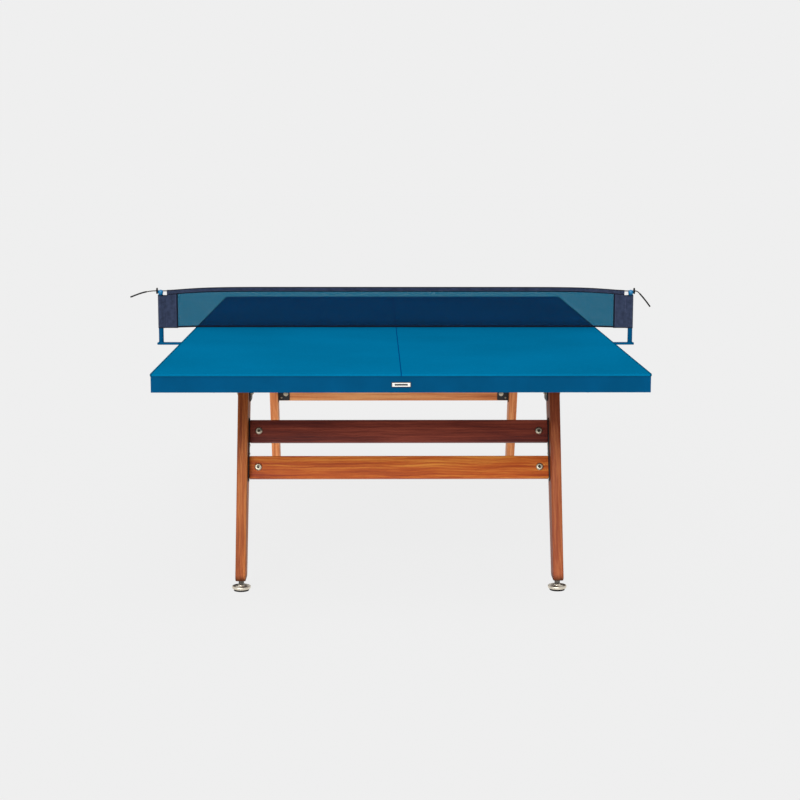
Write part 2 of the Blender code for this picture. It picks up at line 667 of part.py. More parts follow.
def make_net_sleeve(side, sign, materials):
    """The cloth end panel: a flap sewn into a sleeve round the post."""
    half = SLEEVE_FLAP_THICKNESS / 2
    bore = POST_RADIUS + SLEEVE_EASE
    step = TAPE_HALF_LENGTH + 2 * FIT_GAP
    wall = POST_X - bore - SLEEVE_WALL / 2
    outline = [(MESH_HALF_LENGTH, SLEEVE_BOTTOM_Z), (wall, SLEEVE_BOTTOM_Z), (wall, SLEEVE_TOP_Z),
               (step, SLEEVE_TOP_Z)]
    columns = 5
    for i in range(columns + 1):
        x = step - (step - MESH_HALF_LENGTH) * i / columns
        outline.append((x, tape_bottom(x) - FIT_GAP))
    points = [(sign * x, -half, z) for x, z in outline]
    sleeve = make_object(f"net_sleeve_{side}", extruded(points, (0, 2 * half, 0)), materials["net_tape"])
    low = (sign * POST_X, 0, SLEEVE_BOTTOM_Z)
    high = (sign * POST_X, 0, SLEEVE_TOP_Z)
    add_boolean(sleeve, rod(bore + SLEEVE_WALL, low, high), "UNION")
    past = Vector((0, 0, SLEEVE_WALL * 4))
    add_boolean(sleeve, rod(bore, Vector(low) - past, Vector(high) + past))


def make_post(side, sign, materials):
    """The net post: a tube welded on a flat arm that reaches under the frame."""
    outer = POST_X + ARM_PAST_POST
    xs = sorted((sign * ARM_INNER_X, sign * outer))
    bottom = ARM_TOP_Z - ARM_THICKNESS
    arm = block((xs[0], -ARM_SIZE_Y / 2, bottom), (xs[1], ARM_SIZE_Y / 2, ARM_TOP_Z))
    post = make_object(f"net_post_{side}", arm, materials["blue_steel"])
    top = BALL_CENTRE_Z - BALL_RADIUS * 0.72
    overlap = ARM_THICKNESS / 2
    tube = turned([(POST_RADIUS - POST_WALL, ARM_TOP_Z - overlap), (POST_RADIUS, ARM_TOP_Z - overlap),
                   (POST_RADIUS, top), (POST_RADIUS - POST_WALL, top), (POST_RADIUS - POST_WALL, ARM_TOP_Z - overlap)])
    add_boolean(post, tube, "UNION", (sign * POST_X, 0, 0))
    hole = rod(ARM_BOLT_RADIUS + FIT_GAP, (sign * ARM_BOLT_X, 0, bottom - ARM_THICKNESS),
               (sign * ARM_BOLT_X, 0, ARM_TOP_Z + ARM_THICKNESS), 16)
    add_boolean(post, hole)


def make_ball(side, sign, materials):
    """The plastic ball that plugs the post and carries the cord."""
    spigot = POST_RADIUS - POST_WALL - FIT_GAP
    neck = -math.sqrt(BALL_RADIUS ** 2 - spigot ** 2)
    lower = math.degrees(math.asin(neck / BALL_RADIUS))
    profile = [(0, neck - BALL_SPIGOT_LENGTH), (spigot, neck - BALL_SPIGOT_LENGTH)]
    profile += arc((0, 0), BALL_RADIUS, lower, 90, 10)
    profile[-1] = (0, BALL_RADIUS)
    ball = make_object(f"post_ball_{side}", turned(profile), materials["blue_plastic"],
                       location=(sign * POST_X, 0, BALL_CENTRE_Z))
    reach = 2 * BALL_RADIUS
    rise = CORD_EXIT_Z - BALL_CENTRE_Z
    add_boolean(ball, rod(CORD_BORE_RADIUS, (-reach, 0, rise), (reach, 0, rise), 16),
                location=ball.location)


def make_arm_bolt(side, sign, materials):
    """The hex bolt that holds a net arm up to the centre beam."""
    under = ARM_TOP_Z - ARM_THICKNESS - FIT_GAP
    shank_top = FRAME_BOTTOM_Z + 5 * RAIL_WALL
    shank = rod(ARM_BOLT_RADIUS, (0, 0, under - ARM_BOLT_HEAD_HEIGHT / 2), (0, 0, shank_top), 16)
    bolt = make_object(f"net_arm_bolt_{side}", shank, materials["chrome"],
                       location=(sign * ARM_BOLT_X, 0, 0))
    head = rod(ARM_BOLT_HEAD_RADIUS, (0, 0, under - ARM_BOLT_HEAD_HEIGHT), (0, 0, under), 6)
    add_boolean(bolt, head, "UNION", bolt.location)


def make_cords(materials):
    """The cord held by the tape and balls, and each free tail with its stop and end sleeve."""
    end_x = POST_X + BALL_RADIUS
    xs = [-end_x, -POST_X, *net_stations(TAPE_HALF_LENGTH), POST_X, end_x]
    held = [Vector((x, 0, NET_TOP_Z - TAPE_ABOVE_CORD - net_drop(x))) for x in xs]
    make_cord("net_cord", held, CORD_RADIUS, materials["cord"], None)
    for side, sign in SIDES.items():
        exit_x = end_x + FIT_GAP
        route = [Vector((sign * (exit_x + out), 0, CORD_EXIT_Z + up)) for out, up in TAIL_ROUTES[side]]
        points = smooth_curve(route, TAIL_SPACING)
        tip_points = round(TIP_LENGTH / TAIL_SPACING)
        split = len(points) - 1 - tip_points
        tail, tip = points[:split + 1], points[split:]
        step = (tip[1] - tip[0]).normalized() * FIT_GAP
        tip = [tip[0] + step, *tip[1:]]
        make_cord(f"cord_tail_{side}", tail, CORD_RADIUS, materials["cord"], None)
        make_cord(f"cord_tip_{side}", tip, TIP_RADIUS, materials["rubber"], None)
        make_cord_stop(side, sign, end_x + 2 * FIT_GAP, materials)


def make_cord_stop(side, sign, face, materials):
    """A waisted rubber disc on the cord, against its ball."""
    waist = (STOP_THICKNESS - STOP_WAIST) / 2
    rim = STOP_RADIUS
    profile = [(CORD_BORE_RADIUS, waist), (rim * 0.45, waist), (rim * 0.72, 0), (rim * 0.93, 0.0004),
               (rim, STOP_THICKNESS * 0.3), (rim, STOP_THICKNESS * 0.7), (rim * 0.93, STOP_THICKNESS - 0.0004),
               (rim * 0.72, STOP_THICKNESS), (rim * 0.45, STOP_THICKNESS - waist),
               (CORD_BORE_RADIUS, STOP_THICKNESS - waist), (CORD_BORE_RADIUS, waist)]
    make_object(f"cord_stop_{side}", turned(profile, axis=(sign, 0, 0)), materials["rubber"],
                location=(sign * face, 0, CORD_EXIT_Z))


def make_net(materials):
    """Posts, balls, cloth and cord."""
    for side, sign in SIDES.items():
        make_post(side, sign, materials)
        make_ball(side, sign, materials)
        make_arm_bolt(side, sign, materials)
        make_net_sleeve(side, sign, materials)
    make_net_cloth(materials)
    make_cords(materials)


def main():
    """Build the whole table."""
    clear_scene()
    materials = make_materials()
    make_top(materials)
    make_rails(materials)
    make_centre_beam(materials)
    make_plate(materials)
    for end in ENDS:
        make_trestle(end, materials)
    make_net(materials)


main()
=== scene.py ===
"""The looks of a full-size outdoor table tennis table, built round its packed CAD frame.

The frame: +Z is up, the floor is Z = 0, the net stands on Y = 0 and the near end of the
table is at -Y.  All sizes are metres.  A trestle is modelled in its own frame, whose y
runs inwards from the table's end, and the far one is the same trestle turned half a turn.
"""

import logging
import math
from dataclasses import dataclass
from enum import Enum
from typing import Any, Callable, Iterable, Sequence

import bmesh
import bpy
from mathutils import Matrix, Vector, noise


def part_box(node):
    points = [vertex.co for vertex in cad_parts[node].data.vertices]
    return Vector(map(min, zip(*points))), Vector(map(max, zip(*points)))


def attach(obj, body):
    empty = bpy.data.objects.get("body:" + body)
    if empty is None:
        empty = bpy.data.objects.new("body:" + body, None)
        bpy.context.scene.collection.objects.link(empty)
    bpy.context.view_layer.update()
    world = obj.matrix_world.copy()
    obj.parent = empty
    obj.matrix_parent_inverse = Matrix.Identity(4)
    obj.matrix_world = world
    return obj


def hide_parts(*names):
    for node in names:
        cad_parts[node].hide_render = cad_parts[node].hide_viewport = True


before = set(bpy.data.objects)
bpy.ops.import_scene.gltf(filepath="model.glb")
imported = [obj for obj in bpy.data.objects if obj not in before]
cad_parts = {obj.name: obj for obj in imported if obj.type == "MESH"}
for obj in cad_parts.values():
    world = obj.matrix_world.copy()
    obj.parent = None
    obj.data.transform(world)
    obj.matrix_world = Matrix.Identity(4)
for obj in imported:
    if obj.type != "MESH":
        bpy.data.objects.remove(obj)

LOG = logging.getLogger("table_tennis_table")
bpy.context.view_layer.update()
IDENTITY = Matrix.Identity(4)
ARRIS = "arris"        # vertex attribute: 1 along a softened edge, -1 down in a recess
CLOTH = "cloth"        # vertex attribute: metres across and along a cloth's flat cut
BINDING = "binding"    # vertex attribute: 1 where a cloth is doubled by a seam or a hem
Colour = tuple[float, float, float, float]
Point = Sequence[float]


class Side(Enum):
    """The two long sides of the table, by the sign of their X."""
    LEFT = -1
    RIGHT = 1


class End(Enum):
    """The two ends of the table, by the sign of their trestle's inward Y."""
    NEAR = 1
    FAR = -1


class Row(Enum):
    """The two planks of a trestle."""
    UPPER = "upper"
    LOWER = "lower"


class Tone(Enum):
    """A board's colours: its dark streaks, its body and its pale streaks. The lighter tones given to the far trestle
    are painted light.
    """
    DARK_RED = ("592521", "7b3629", "964735")
    ORANGE = ("903818", "b85822", "d48438")
    BROWN = ("7a371b", "a3572b", "be7540")
    RED_BROWN = ("642b19", "8c4327", "a86039")
    # Painted light: a paler tone that brightens the far trestle's boards, which stand in the shade of the top.
    PALE = ("b46338", "d88551", "eda56b")


# ---- meshes ----------------------------------------------------------------
def begin() -> bmesh.types.BMesh:
    """Return an empty bmesh that carries the arris attribute."""
    bm = bmesh.new()
    bm.verts.layers.float.new(ARRIS)
    return bm


def soften(bm: bmesh.types.BMesh, width: float, segments: int = 3,
           choose: Callable[[bmesh.types.BMEdge], bool] | None = None) -> bmesh.types.BMesh:
    """Round a shape's sharp edges and mark the new arrises.

    Args:
        bm: the shape.
        width: how far the rounding reaches on each face.
        segments: the facets of each rounding.
        choose: says which of the sharp edges are rounded; all of them by default.

    Returns:
        The same bmesh.
    """
    bmesh.ops.recalc_face_normals(bm, faces=bm.faces)
    edges = [e for e in bm.edges if e.is_manifold and e.calc_face_angle() > math.radians(30)]
    if choose:
        edges = [e for e in edges if choose(e)]
    made = bmesh.ops.bevel(bm, geom=edges, offset=width, offset_type="OFFSET", affect="EDGES",
                           segments=segments, profile=0.5, material=-1, clamp_overlap=True)
    layer, rounded = bm.verts.layers.float[ARRIS], set(made["faces"])
    for vert in made["verts"]:
        if vert.is_valid and all(face in rounded for face in vert.link_faces):
            vert[layer] = 1.0
    return bm


def block(low: Point, high: Point) -> bmesh.types.BMesh:
    """Return a box between two corners."""
    low, high = Vector(low), Vector(high)
    bm = begin()
    size = Matrix.Diagonal((*(high - low), 1.0))
    bmesh.ops.create_cube(bm, size=1.0, matrix=Matrix.Translation((low + high) / 2) @ size)
    return bm


def rod(radius: float, start: Point, end: Point, segments: int = 24,
        end_radius: float | None = None) -> bmesh.types.BMesh:
    """Return a capped cylinder or cone between two points."""
    start, end = Vector(start), Vector(end)
    turn = (end - start).to_track_quat("Z", "Y").to_matrix().to_4x4()
    bm = begin()
    bmesh.ops.create_cone(bm, cap_ends=True, segments=segments, radius1=radius,
                          radius2=radius if end_radius is None else end_radius,
                          depth=(end - start).length, matrix=Matrix.Translation((start + end) / 2) @ turn)
    return bm


def turned(profile: Iterable[tuple[float, float]], segments: int = 48) -> bmesh.types.BMesh:
    """Return an (r, z) profile spun about Z."""
    bm = begin()
    verts = [bm.verts.new((r, 0, z)) for r, z in profile]
    edges = [bm.edges.new(pair) for pair in zip(verts, verts[1:])]
    bmesh.ops.spin(bm, geom=verts + edges, cent=(0, 0, 0), axis=(0, 0, 1), angle=math.tau,
                   steps=segments, use_merge=True)
    bmesh.ops.remove_doubles(bm, verts=bm.verts, dist=1e-6)
    return bm


def prism(outline: Iterable[Point], depth: Point) -> bmesh.types.BMesh:
    """Return a closed outline extruded by a vector."""
    bm = begin()
    face = bm.faces.new([bm.verts.new(point) for point in outline])
    moved = bmesh.ops.extrude_face_region(bm, geom=[face])
    verts = [item for item in moved["geom"] if isinstance(item, bmesh.types.BMVert)]
    bmesh.ops.translate(bm, verts=verts, vec=Vector(depth))
    return bm


def arc(centre: tuple[float, float], radius: float, start: float, end: float,
        steps: int) -> list[tuple[float, float]]:
    """Return points on a circular arc, its angles in degrees."""
    angles = [math.radians(start + (end - start) * i / steps) for i in range(steps + 1)]
    return [(centre[0] + radius * math.cos(a), centre[1] + radius * math.sin(a)) for a in angles]


def hexagon(across_flats: float, low: float, high: float, chamfer: float) -> bmesh.types.BMesh:
    """Return a hexagonal prism about Z with turned-down corners.

    Args:
        across_flats: the spanner size.
        low: height of its lower face.
        high: height of its upper face.
        chamfer: how much the corners are turned down at each face.

    Returns:
        The new bmesh.
    """
    bm = rod(across_flats / math.sqrt(3), (0, 0, low), (0, 0, high), 6)
    upright = [e for e in bm.edges if abs(e.verts[0].co.z - e.verts[1].co.z) > 1e-6]
    bmesh.ops.subdivide_edges(bm, edges=[e for e in bm.edges if e not in upright], cuts=3)
    flat = across_flats / 2
    for vert in bm.verts:
        past = math.hypot(vert.co.x, vert.co.y) - flat
        if past > 1e-6:
            vert.co.z += math.copysign(past * chamfer, (low + high) / 2 - vert.co.z)
    return bm


def socket_head(radius: float, height: float, socket: float, depth: float,
                segments: int = 24) -> bmesh.types.BMesh:
    """Return a domed button head with a hexagonal socket, standing on Z = 0.

    Args:
        radius: the head's radius.
        height: the head's height.
        socket: the socket's size across its flats.
        depth: the socket's depth.
        segments: facets round the head; a multiple of 6.

    Returns:
        The new bmesh.
    """
    bm = begin()
    crown = socket * 0.66
    dome = [(crown + (radius - crown) * i / 6, height - height * 0.68 * (i / 6) ** 2.4) for i in range(7)]
    profile = [*dome, (radius, height * 0.12), (radius - 0.0004, 0.0), (0.0, 0.0)]
    verts = [bm.verts.new((r, 0, z)) for r, z in profile]
    edges = [bm.edges.new(pair) for pair in zip(verts, verts[1:])]
    bmesh.ops.spin(bm, geom=verts + edges, cent=(0, 0, 0), axis=(0, 0, 1), angle=math.tau,
                   steps=segments, use_merge=True)
    bmesh.ops.remove_doubles(bm, verts=bm.verts, dist=1e-6)
    rim = [e for e in bm.edges if e.is_boundary]
    bmesh.ops.create_circle(bm, cap_ends=False, segments=6, radius=socket / math.sqrt(3),
                            matrix=Matrix.Translation((0, 0, height)))
    bmesh.ops.subdivide_edges(bm, edges=[e for e in bm.edges if not e.link_faces], cuts=segments // 6 - 1)
    hexagonal = [e for e in bm.edges if not e.link_faces]
    bmesh.ops.bridge_loops(bm, edges=rim + hexagonal)
    layer = bm.verts.layers.float[ARRIS]
    for drop, shrink in ((depth * 0.15, 0.985), (depth * 0.85, 1.0), (depth * 0.35, 0.0)):
        lip = [e for e in bm.edges if e.is_boundary]
        moved = bmesh.ops.extrude_edge_only(bm, edges=lip)["geom"]
        deeper = [item for item in moved if isinstance(item, bmesh.types.BMVert)]
        for vert in deeper:
            vert.co = (vert.co.x * shrink, vert.co.y * shrink, vert.co.z - drop)
            vert[layer] = -1.0
    bmesh.ops.remove_doubles(bm, verts=bm.verts, dist=1e-6)
    return bm


class Shape:
    """Shells gathered into one mesh, each cleaned before it joins the rest."""

    def __init__(self) -> None:
        """Start with no shells."""
        self.bm = begin()

    def add(self, part: bmesh.types.BMesh, place: Matrix = IDENTITY) -> "Shape":
        """Clean a shell, put it in its place and take it in.

        Args:
            part: the shell; it is used up.
            place: where its own frame stands in the table's frame.

        Returns:
            This shape.
        """
        bmesh.ops.transform(part, matrix=place, verts=part.verts)
        bmesh.ops.remove_doubles(part, verts=part.verts, dist=1e-6)
        bmesh.ops.recalc_face_normals(part, faces=part.faces)
        mesh = bpy.data.meshes.new("shell")
        part.to_mesh(mesh)
        part.free()
        self.bm.from_mesh(mesh)
        bpy.data.meshes.remove(mesh)
        return self

    def publish(self, name: str, finish: "Finish", body: str, replaces: Sequence[str] = (),
                crease: float = 38.0, wall: float = 0.0) -> bpy.types.Object:
        """Make the finished piece and let it ride on its CAD body.

        Args:
            name: the piece's name.
            finish: its surface finish.
            body: the CAD body that it moves with.
            replaces: the CAD nodes that it stands for.
            crease: edges sharper than this many degrees stay sharp.
            wall: the thickness given to an open sheet, or 0 for a closed shape.

        Returns:
            The piece's object.
        """
        mesh = bpy.data.meshes.new(name)
        self.bm.to_mesh(mesh)
        self.bm.free()
        mesh.shade_smooth()
        mesh.set_sharp_from_angle(angle=math.radians(crease))
        mesh.materials.append(finish.material())
        piece = bpy.data.objects.new(name, mesh)
        bpy.context.scene.collection.objects.link(piece)
        if wall:
            solidify = piece.modifiers.new("cloth_thickness", "SOLIDIFY")
            solidify.thickness = wall
            solidify.offset = 0.0
        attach(piece, body)
        if replaces:
            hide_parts(*replaces)
        LOG.info("%s: %d faces, %s", name, len(mesh.polygons), finish.name)
        return piece


def cloth(columns: int, rows: int, size: tuple[float, float],
          lay: Callable[[float, float], Vector],
          bound: Callable[[float, float], float] = lambda u, v: 0.0) -> bmesh.types.BMesh:
    """Return a sheet that starts as a flat grid and is laid in its place.

    Args:
        columns: cells across the cut.
        rows: cells along the cut.
        size: the flat cut's width and length.
        lay: gives a point's place from its shares u across and v along.
        bound: says how far the cloth there is a doubled seam or hem, 0 to 1.

    Returns:
        The new bmesh, an open sheet.
    """
    bm = begin()
    flat = bm.verts.layers.float_vector.new(CLOTH)
    binding = bm.verts.layers.float.new(BINDING)
    bmesh.ops.create_grid(bm, x_segments=columns, y_segments=rows, size=0.5)
    for vert in bm.verts:
        u, v = vert.co.x + 0.5, vert.co.y + 0.5
        vert[flat] = Vector((u * size[0], v * size[1], 0.0))
        vert[binding] = bound(u, v)
        vert.co = lay(u, v)
    return bm


def tube_mesh(points: Sequence[Vector], radius: float, sides: int = 12) -> bpy.types.Mesh:
    """Return a round tube with closed ends along points, its UV map running along it.

    Args:
        points: the centreline.
        radius: the tube's radius.
        sides: facets round it; a multiple of 4.

    Returns:
        The new mesh.
    """
    curve = bpy.data.curves.new("centreline", "CURVE")
    curve.dimensions = "3D"
    curve.bevel_depth = radius
    curve.bevel_resolution = sides // 4 - 1 + sides // 4 - 1
    curve.use_fill_caps = True
    spline = curve.splines.new("POLY")
    spline.points.add(len(points) - 1)
    for slot, point in zip(spline.points, points):
        slot.co = (*point, 1.0)
    guide = bpy.data.objects.new("centreline", curve)
    bpy.context.scene.collection.objects.link(guide)
    mesh = bpy.data.meshes.new_from_object(guide.evaluated_get(bpy.context.evaluated_depsgraph_get()))
    bpy.data.objects.remove(guide)
    bpy.data.curves.remove(curve)
    return mesh


def smooth_line(points: Sequence[Vector], spacing: float) -> list[Vector]:
    """Return points an even distance apart on a smooth curve through the given ones."""
    guides = [2 * points[0] - points[1], *points, 2 * points[-1] - points[-2]]
    fine: list[Vector] = []
    for a, b, c, d in zip(guides, guides[1:], guides[2:], guides[3:]):
        for i in range(20):
            t = i / 20
            fine.append(0.5 * (2 * b + (c - a) * t + (2 * a - 5 * b + 4 * c - d) * t ** 2
                               + (3 * b - a - 3 * c + d) * t ** 3))
    fine.append(points[-1].copy())
    length = line_length(fine)
    steps = max(2, round(length / spacing))
    even, walked, target = [fine[0]], 0.0, length / steps
    for a, b in zip(fine, fine[1:]):
        piece = (b - a).length
        while walked + piece >= target and len(even) < steps:
            even.append(a.lerp(b, (target - walked) / piece))
            target += length / steps
        walked += piece
    return [*even, fine[-1]]


def line_length(points: Sequence[Vector]) -> float:
    """Return the length of a line through points."""
    return sum((b - a).length for a, b in zip(points, points[1:]))


# ---- finishes --------------------------------------------------------------
def linear(code: str) -> Colour:
    """Return an sRGB hex colour as linear RGBA."""
    channels = [int(code[i:i + 2], 16) / 255 for i in (0, 2, 4)]
    red, green, blue = (c / 12.92 if c <= 0.04045 else ((c + 0.055) / 1.055) ** 2.4 for c in channels)
    return red, green, blue, 1.0


def add_node(tree: bpy.types.NodeTree, kind: str, inputs: dict[Any, Any] | None = None,
             stops: Sequence[tuple[float, str]] = (), **settings: Any) -> bpy.types.Node:
    """Add a shader node with its settings and links.

    Args:
        tree: the material's node tree.
        kind: the node's type, without its ShaderNode prefix.
        inputs: values or sockets for its inputs, by name or number.
        stops: a colour ramp's places and hex colours.
        settings: the node's own properties.

    Returns:
        The new node.
    """
    node = tree.nodes.new(f"ShaderNode{kind}")
    for key, value in settings.items():
        setattr(node, key, value)
    for key, value in (inputs or {}).items():
        if isinstance(value, bpy.types.NodeSocket):
            tree.links.new(value, node.inputs[key])
        else:
            node.inputs[key].default_value = value
    for i, (place, code) in enumerate(stops):
        ramp = node.color_ramp.elements
        element = ramp[i] if i < 2 else ramp.new(place)
        element.position, element.color = place, linear(code)
    return node


def per_mm(size: float) -> float:
    """Return the texture scale whose features are this many millimetres across."""
    return 1000.0 / size


@dataclass(frozen=True)
class Finish:
    """A surface finish that makes its own material, once."""
    name: str
    slot: str
    colour: str
    shade: str
    roughness: float
    metallic: float = 0.0
    specular: float = 0.5

    def material(self) -> bpy.types.Material:
        """Return the finish's material."""
        known = bpy.data.materials.get(self.name)
        if known:
            return known
        material = bpy.data.materials.new(self.name)
        material.use_nodes = True
        tree = material.node_tree
        shader = tree.nodes["Principled BSDF"]
        shader.inputs["Metallic"].default_value = self.metallic
        shader.inputs["Specular IOR Level"].default_value = self.specular
        self.dress(tree, shader, add_node(tree, "TexCoord").outputs["Object"])
        return material

    def dress(self, tree: bpy.types.NodeTree, shader: bpy.types.Node, where: bpy.types.NodeSocket) -> None:
        """Give the shader its patterns; each finish has its own."""
        raise NotImplementedError

    def coat(self, tree: bpy.types.NodeTree, shader: bpy.types.Node, colour: bpy.types.NodeSocket,
             rough: bpy.types.NodeSocket, height: bpy.types.NodeSocket, depth: float,
             spread: float = 0.08) -> None:
        """Link a colour, a roughness that varies and a bump to the shader.

        Args:
            tree: the material's node tree.
            shader: its Principled shader.
            colour: the base colour.
            rough: a 0 to 1 pattern for the roughness.
            height: a 0 to 1 pattern for the bump.
            depth: the bump's height in metres.
            spread: how far the roughness varies to each side.
        """
        vary = add_node(tree, "MapRange", {0: rough, 3: self.roughness - spread, 4: self.roughness + spread})
        bump = add_node(tree, "Bump", {"Height": height, "Strength": 1.0, "Distance": depth})
        tree.links.new(colour, shader.inputs["Base Color"])
        tree.links.new(vary.outputs[0], shader.inputs["Roughness"])
        tree.links.new(bump.outputs[0], shader.inputs["Normal"])

    def worn(self, tree: bpy.types.NodeTree, colour: bpy.types.NodeSocket, where: bpy.types.NodeSocket,
             bare: str, size: float, amount: float) -> bpy.types.NodeSocket:
        """Return a colour with a rubbed one let in along the arrises.

        Args:
            tree: the material's node tree.
            colour: the colour before wear.
            where: Object coordinates.
            bare: hex colour of the rubbed surface.
            size: size of the rubbed patches in millimetres.
            amount: how strongly they show, 0 to 1.

        Returns:
            The mixed colour.
        """
        arris = add_node(tree, "Attribute", attribute_name=ARRIS).outputs["Fac"]
        patch = add_node(tree, "TexNoise", {"Vector": where, "Scale": per_mm(size), "Detail": 4.0})
        broken = add_node(tree, "MapRange", {0: patch.outputs[0], 1: 0.42, 2: 0.62, 3: 0.0, 4: amount})
        mask = add_node(tree, "Math", {0: arris, 1: broken.outputs[0]}, operation="MULTIPLY")
        mix = add_node(tree, "Mix", {0: mask.outputs[0], 6: colour, 7: linear(bare)}, data_type="RGBA")
        return mix.outputs[2]


@dataclass(frozen=True)
class Laminate(Finish):
    """High-pressure melamine laminate, pressed against a matt plate.

    It gives the eye a deep even blue with a fine dry grain, a printed line and painted
    shade along the rounded long sides; its underside is the brown-black balancing sheet.
    """
    line: str = "003a70"
    line_width: float = 0.003
    # The darker band along the long sides is painted shade of their rounded arrises.
    arris_colour: str = "004a68"
    arris_width: float = 0.0065
    half_width: float = 0.7625
    backing: str = "1c1f24"
    backing_below: float = 0.7534

    def dress(self, tree: bpy.types.NodeTree, shader: bpy.types.Node, where: bpy.types.NodeSocket) -> None:
        """Blue with cloudy variation, the centre line, painted shade along the long sides and the backing."""
        cloud = add_node(tree, "TexNoise", {"Vector": where, "Scale": per_mm(420), "Detail": 3.0})
        # The press plate's grain is 0.3 mm; it is drawn at 1.6 mm so that it shows.
        grain = add_node(tree, "TexNoise", {"Vector": where, "Scale": per_mm(1.6), "Detail": 2.0})
        speckle = add_node(tree, "TexNoise", {"Vector": where, "Scale": per_mm(7), "Detail": 6.0})
        rubs = add_node(tree, "TexNoise", {"Vector": where, "Scale": per_mm(60), "Detail": 8.0, "Distortion": 1.4})
        tone = add_node(tree, "MapRange", {0: cloud.outputs[0], 1: 0.3, 2: 0.7})
        body = add_node(tree, "Mix", {0: tone.outputs[0], 6: linear(self.shade), 7: linear(self.colour)},
                        data_type="RGBA")
        fleck = add_node(tree, "MapRange", {0: speckle.outputs[0], 1: 0.3, 2: 0.7, 3: 0.94, 4: 1.05})
        flecked = add_node(tree, "VectorMath", {0: body.outputs[2], "Scale": fleck.outputs[0]}, operation="SCALE")
        split = add_node(tree, "SeparateXYZ", {0: where})
        off_middle = add_node(tree, "Math", {0: split.outputs[0]}, operation="ABSOLUTE").outputs[0]
        on_line = add_node(tree, "Math", {0: off_middle, 1: self.line_width / 2}, operation="LESS_THAN")
        lined = add_node(tree, "Mix", {0: on_line.outputs[0], 6: flecked.outputs[0], 7: linear(self.line)},
                         data_type="RGBA")
        # Painted shade: a darker band along each long side, where the rounded arris turns from the light.
        edge = add_node(tree, "MapRange", {0: off_middle, 1: self.half_width - self.arris_width,
                                           2: self.half_width - self.arris_width + 0.001})
        edged = add_node(tree, "Mix", {0: edge.outputs[0], 6: lined.outputs[2], 7: linear(self.arris_colour)},
                         data_type="RGBA")
        under = add_node(tree, "Math", {0: split.outputs[2], 1: self.backing_below}, operation="LESS_THAN")
        backed = add_node(tree, "Mix", {0: under.outputs[0], 6: edged.outputs[2], 7: linear(self.backing)},
                          data_type="RGBA")
        colour = self.worn(tree, backed.outputs[2], where, "3f8fb4", 9.0, 0.35)
        self.coat(tree, shader, colour, rubs.outputs[0], grain.outputs[0], 0.00006)


@dataclass(frozen=True)
class PowderCoat(Finish):
    """Polyester powder baked on steel.

    It gives the eye a satin skin with orange peel, slight clouding where the coat is
    thicker, and a paler rubbed line along the arrises.
    """
    bare: str = "6f8496"
    wear: float = 0.35

    def dress(self, tree: bpy.types.NodeTree, shader: bpy.types.Node, where: bpy.types.NodeSocket) -> None:
        """Clouded colour, orange peel and rubbed arrises."""
        cloud = add_node(tree, "TexNoise", {"Vector": where, "Scale": per_mm(110), "Detail": 4.0})
        # Orange peel is about 1 mm across; it is drawn at 2.2 mm so that it shows.
        peel = add_node(tree, "TexNoise", {"Vector": where, "Scale": per_mm(2.2), "Detail": 1.5})
        dust = add_node(tree, "TexNoise", {"Vector": where, "Scale": per_mm(26), "Detail": 7.0})
        tone = add_node(tree, "MapRange", {0: cloud.outputs[0], 1: 0.3, 2: 0.7})
        body = add_node(tree, "Mix", {0: tone.outputs[0], 6: linear(self.shade), 7: linear(self.colour)},
                        data_type="RGBA")
        colour = self.worn(tree, body.outputs[2], where, self.bare, 11.0, self.wear)
        self.coat(tree, shader, colour, dust.outputs[0], peel.outputs[0], 0.00008)


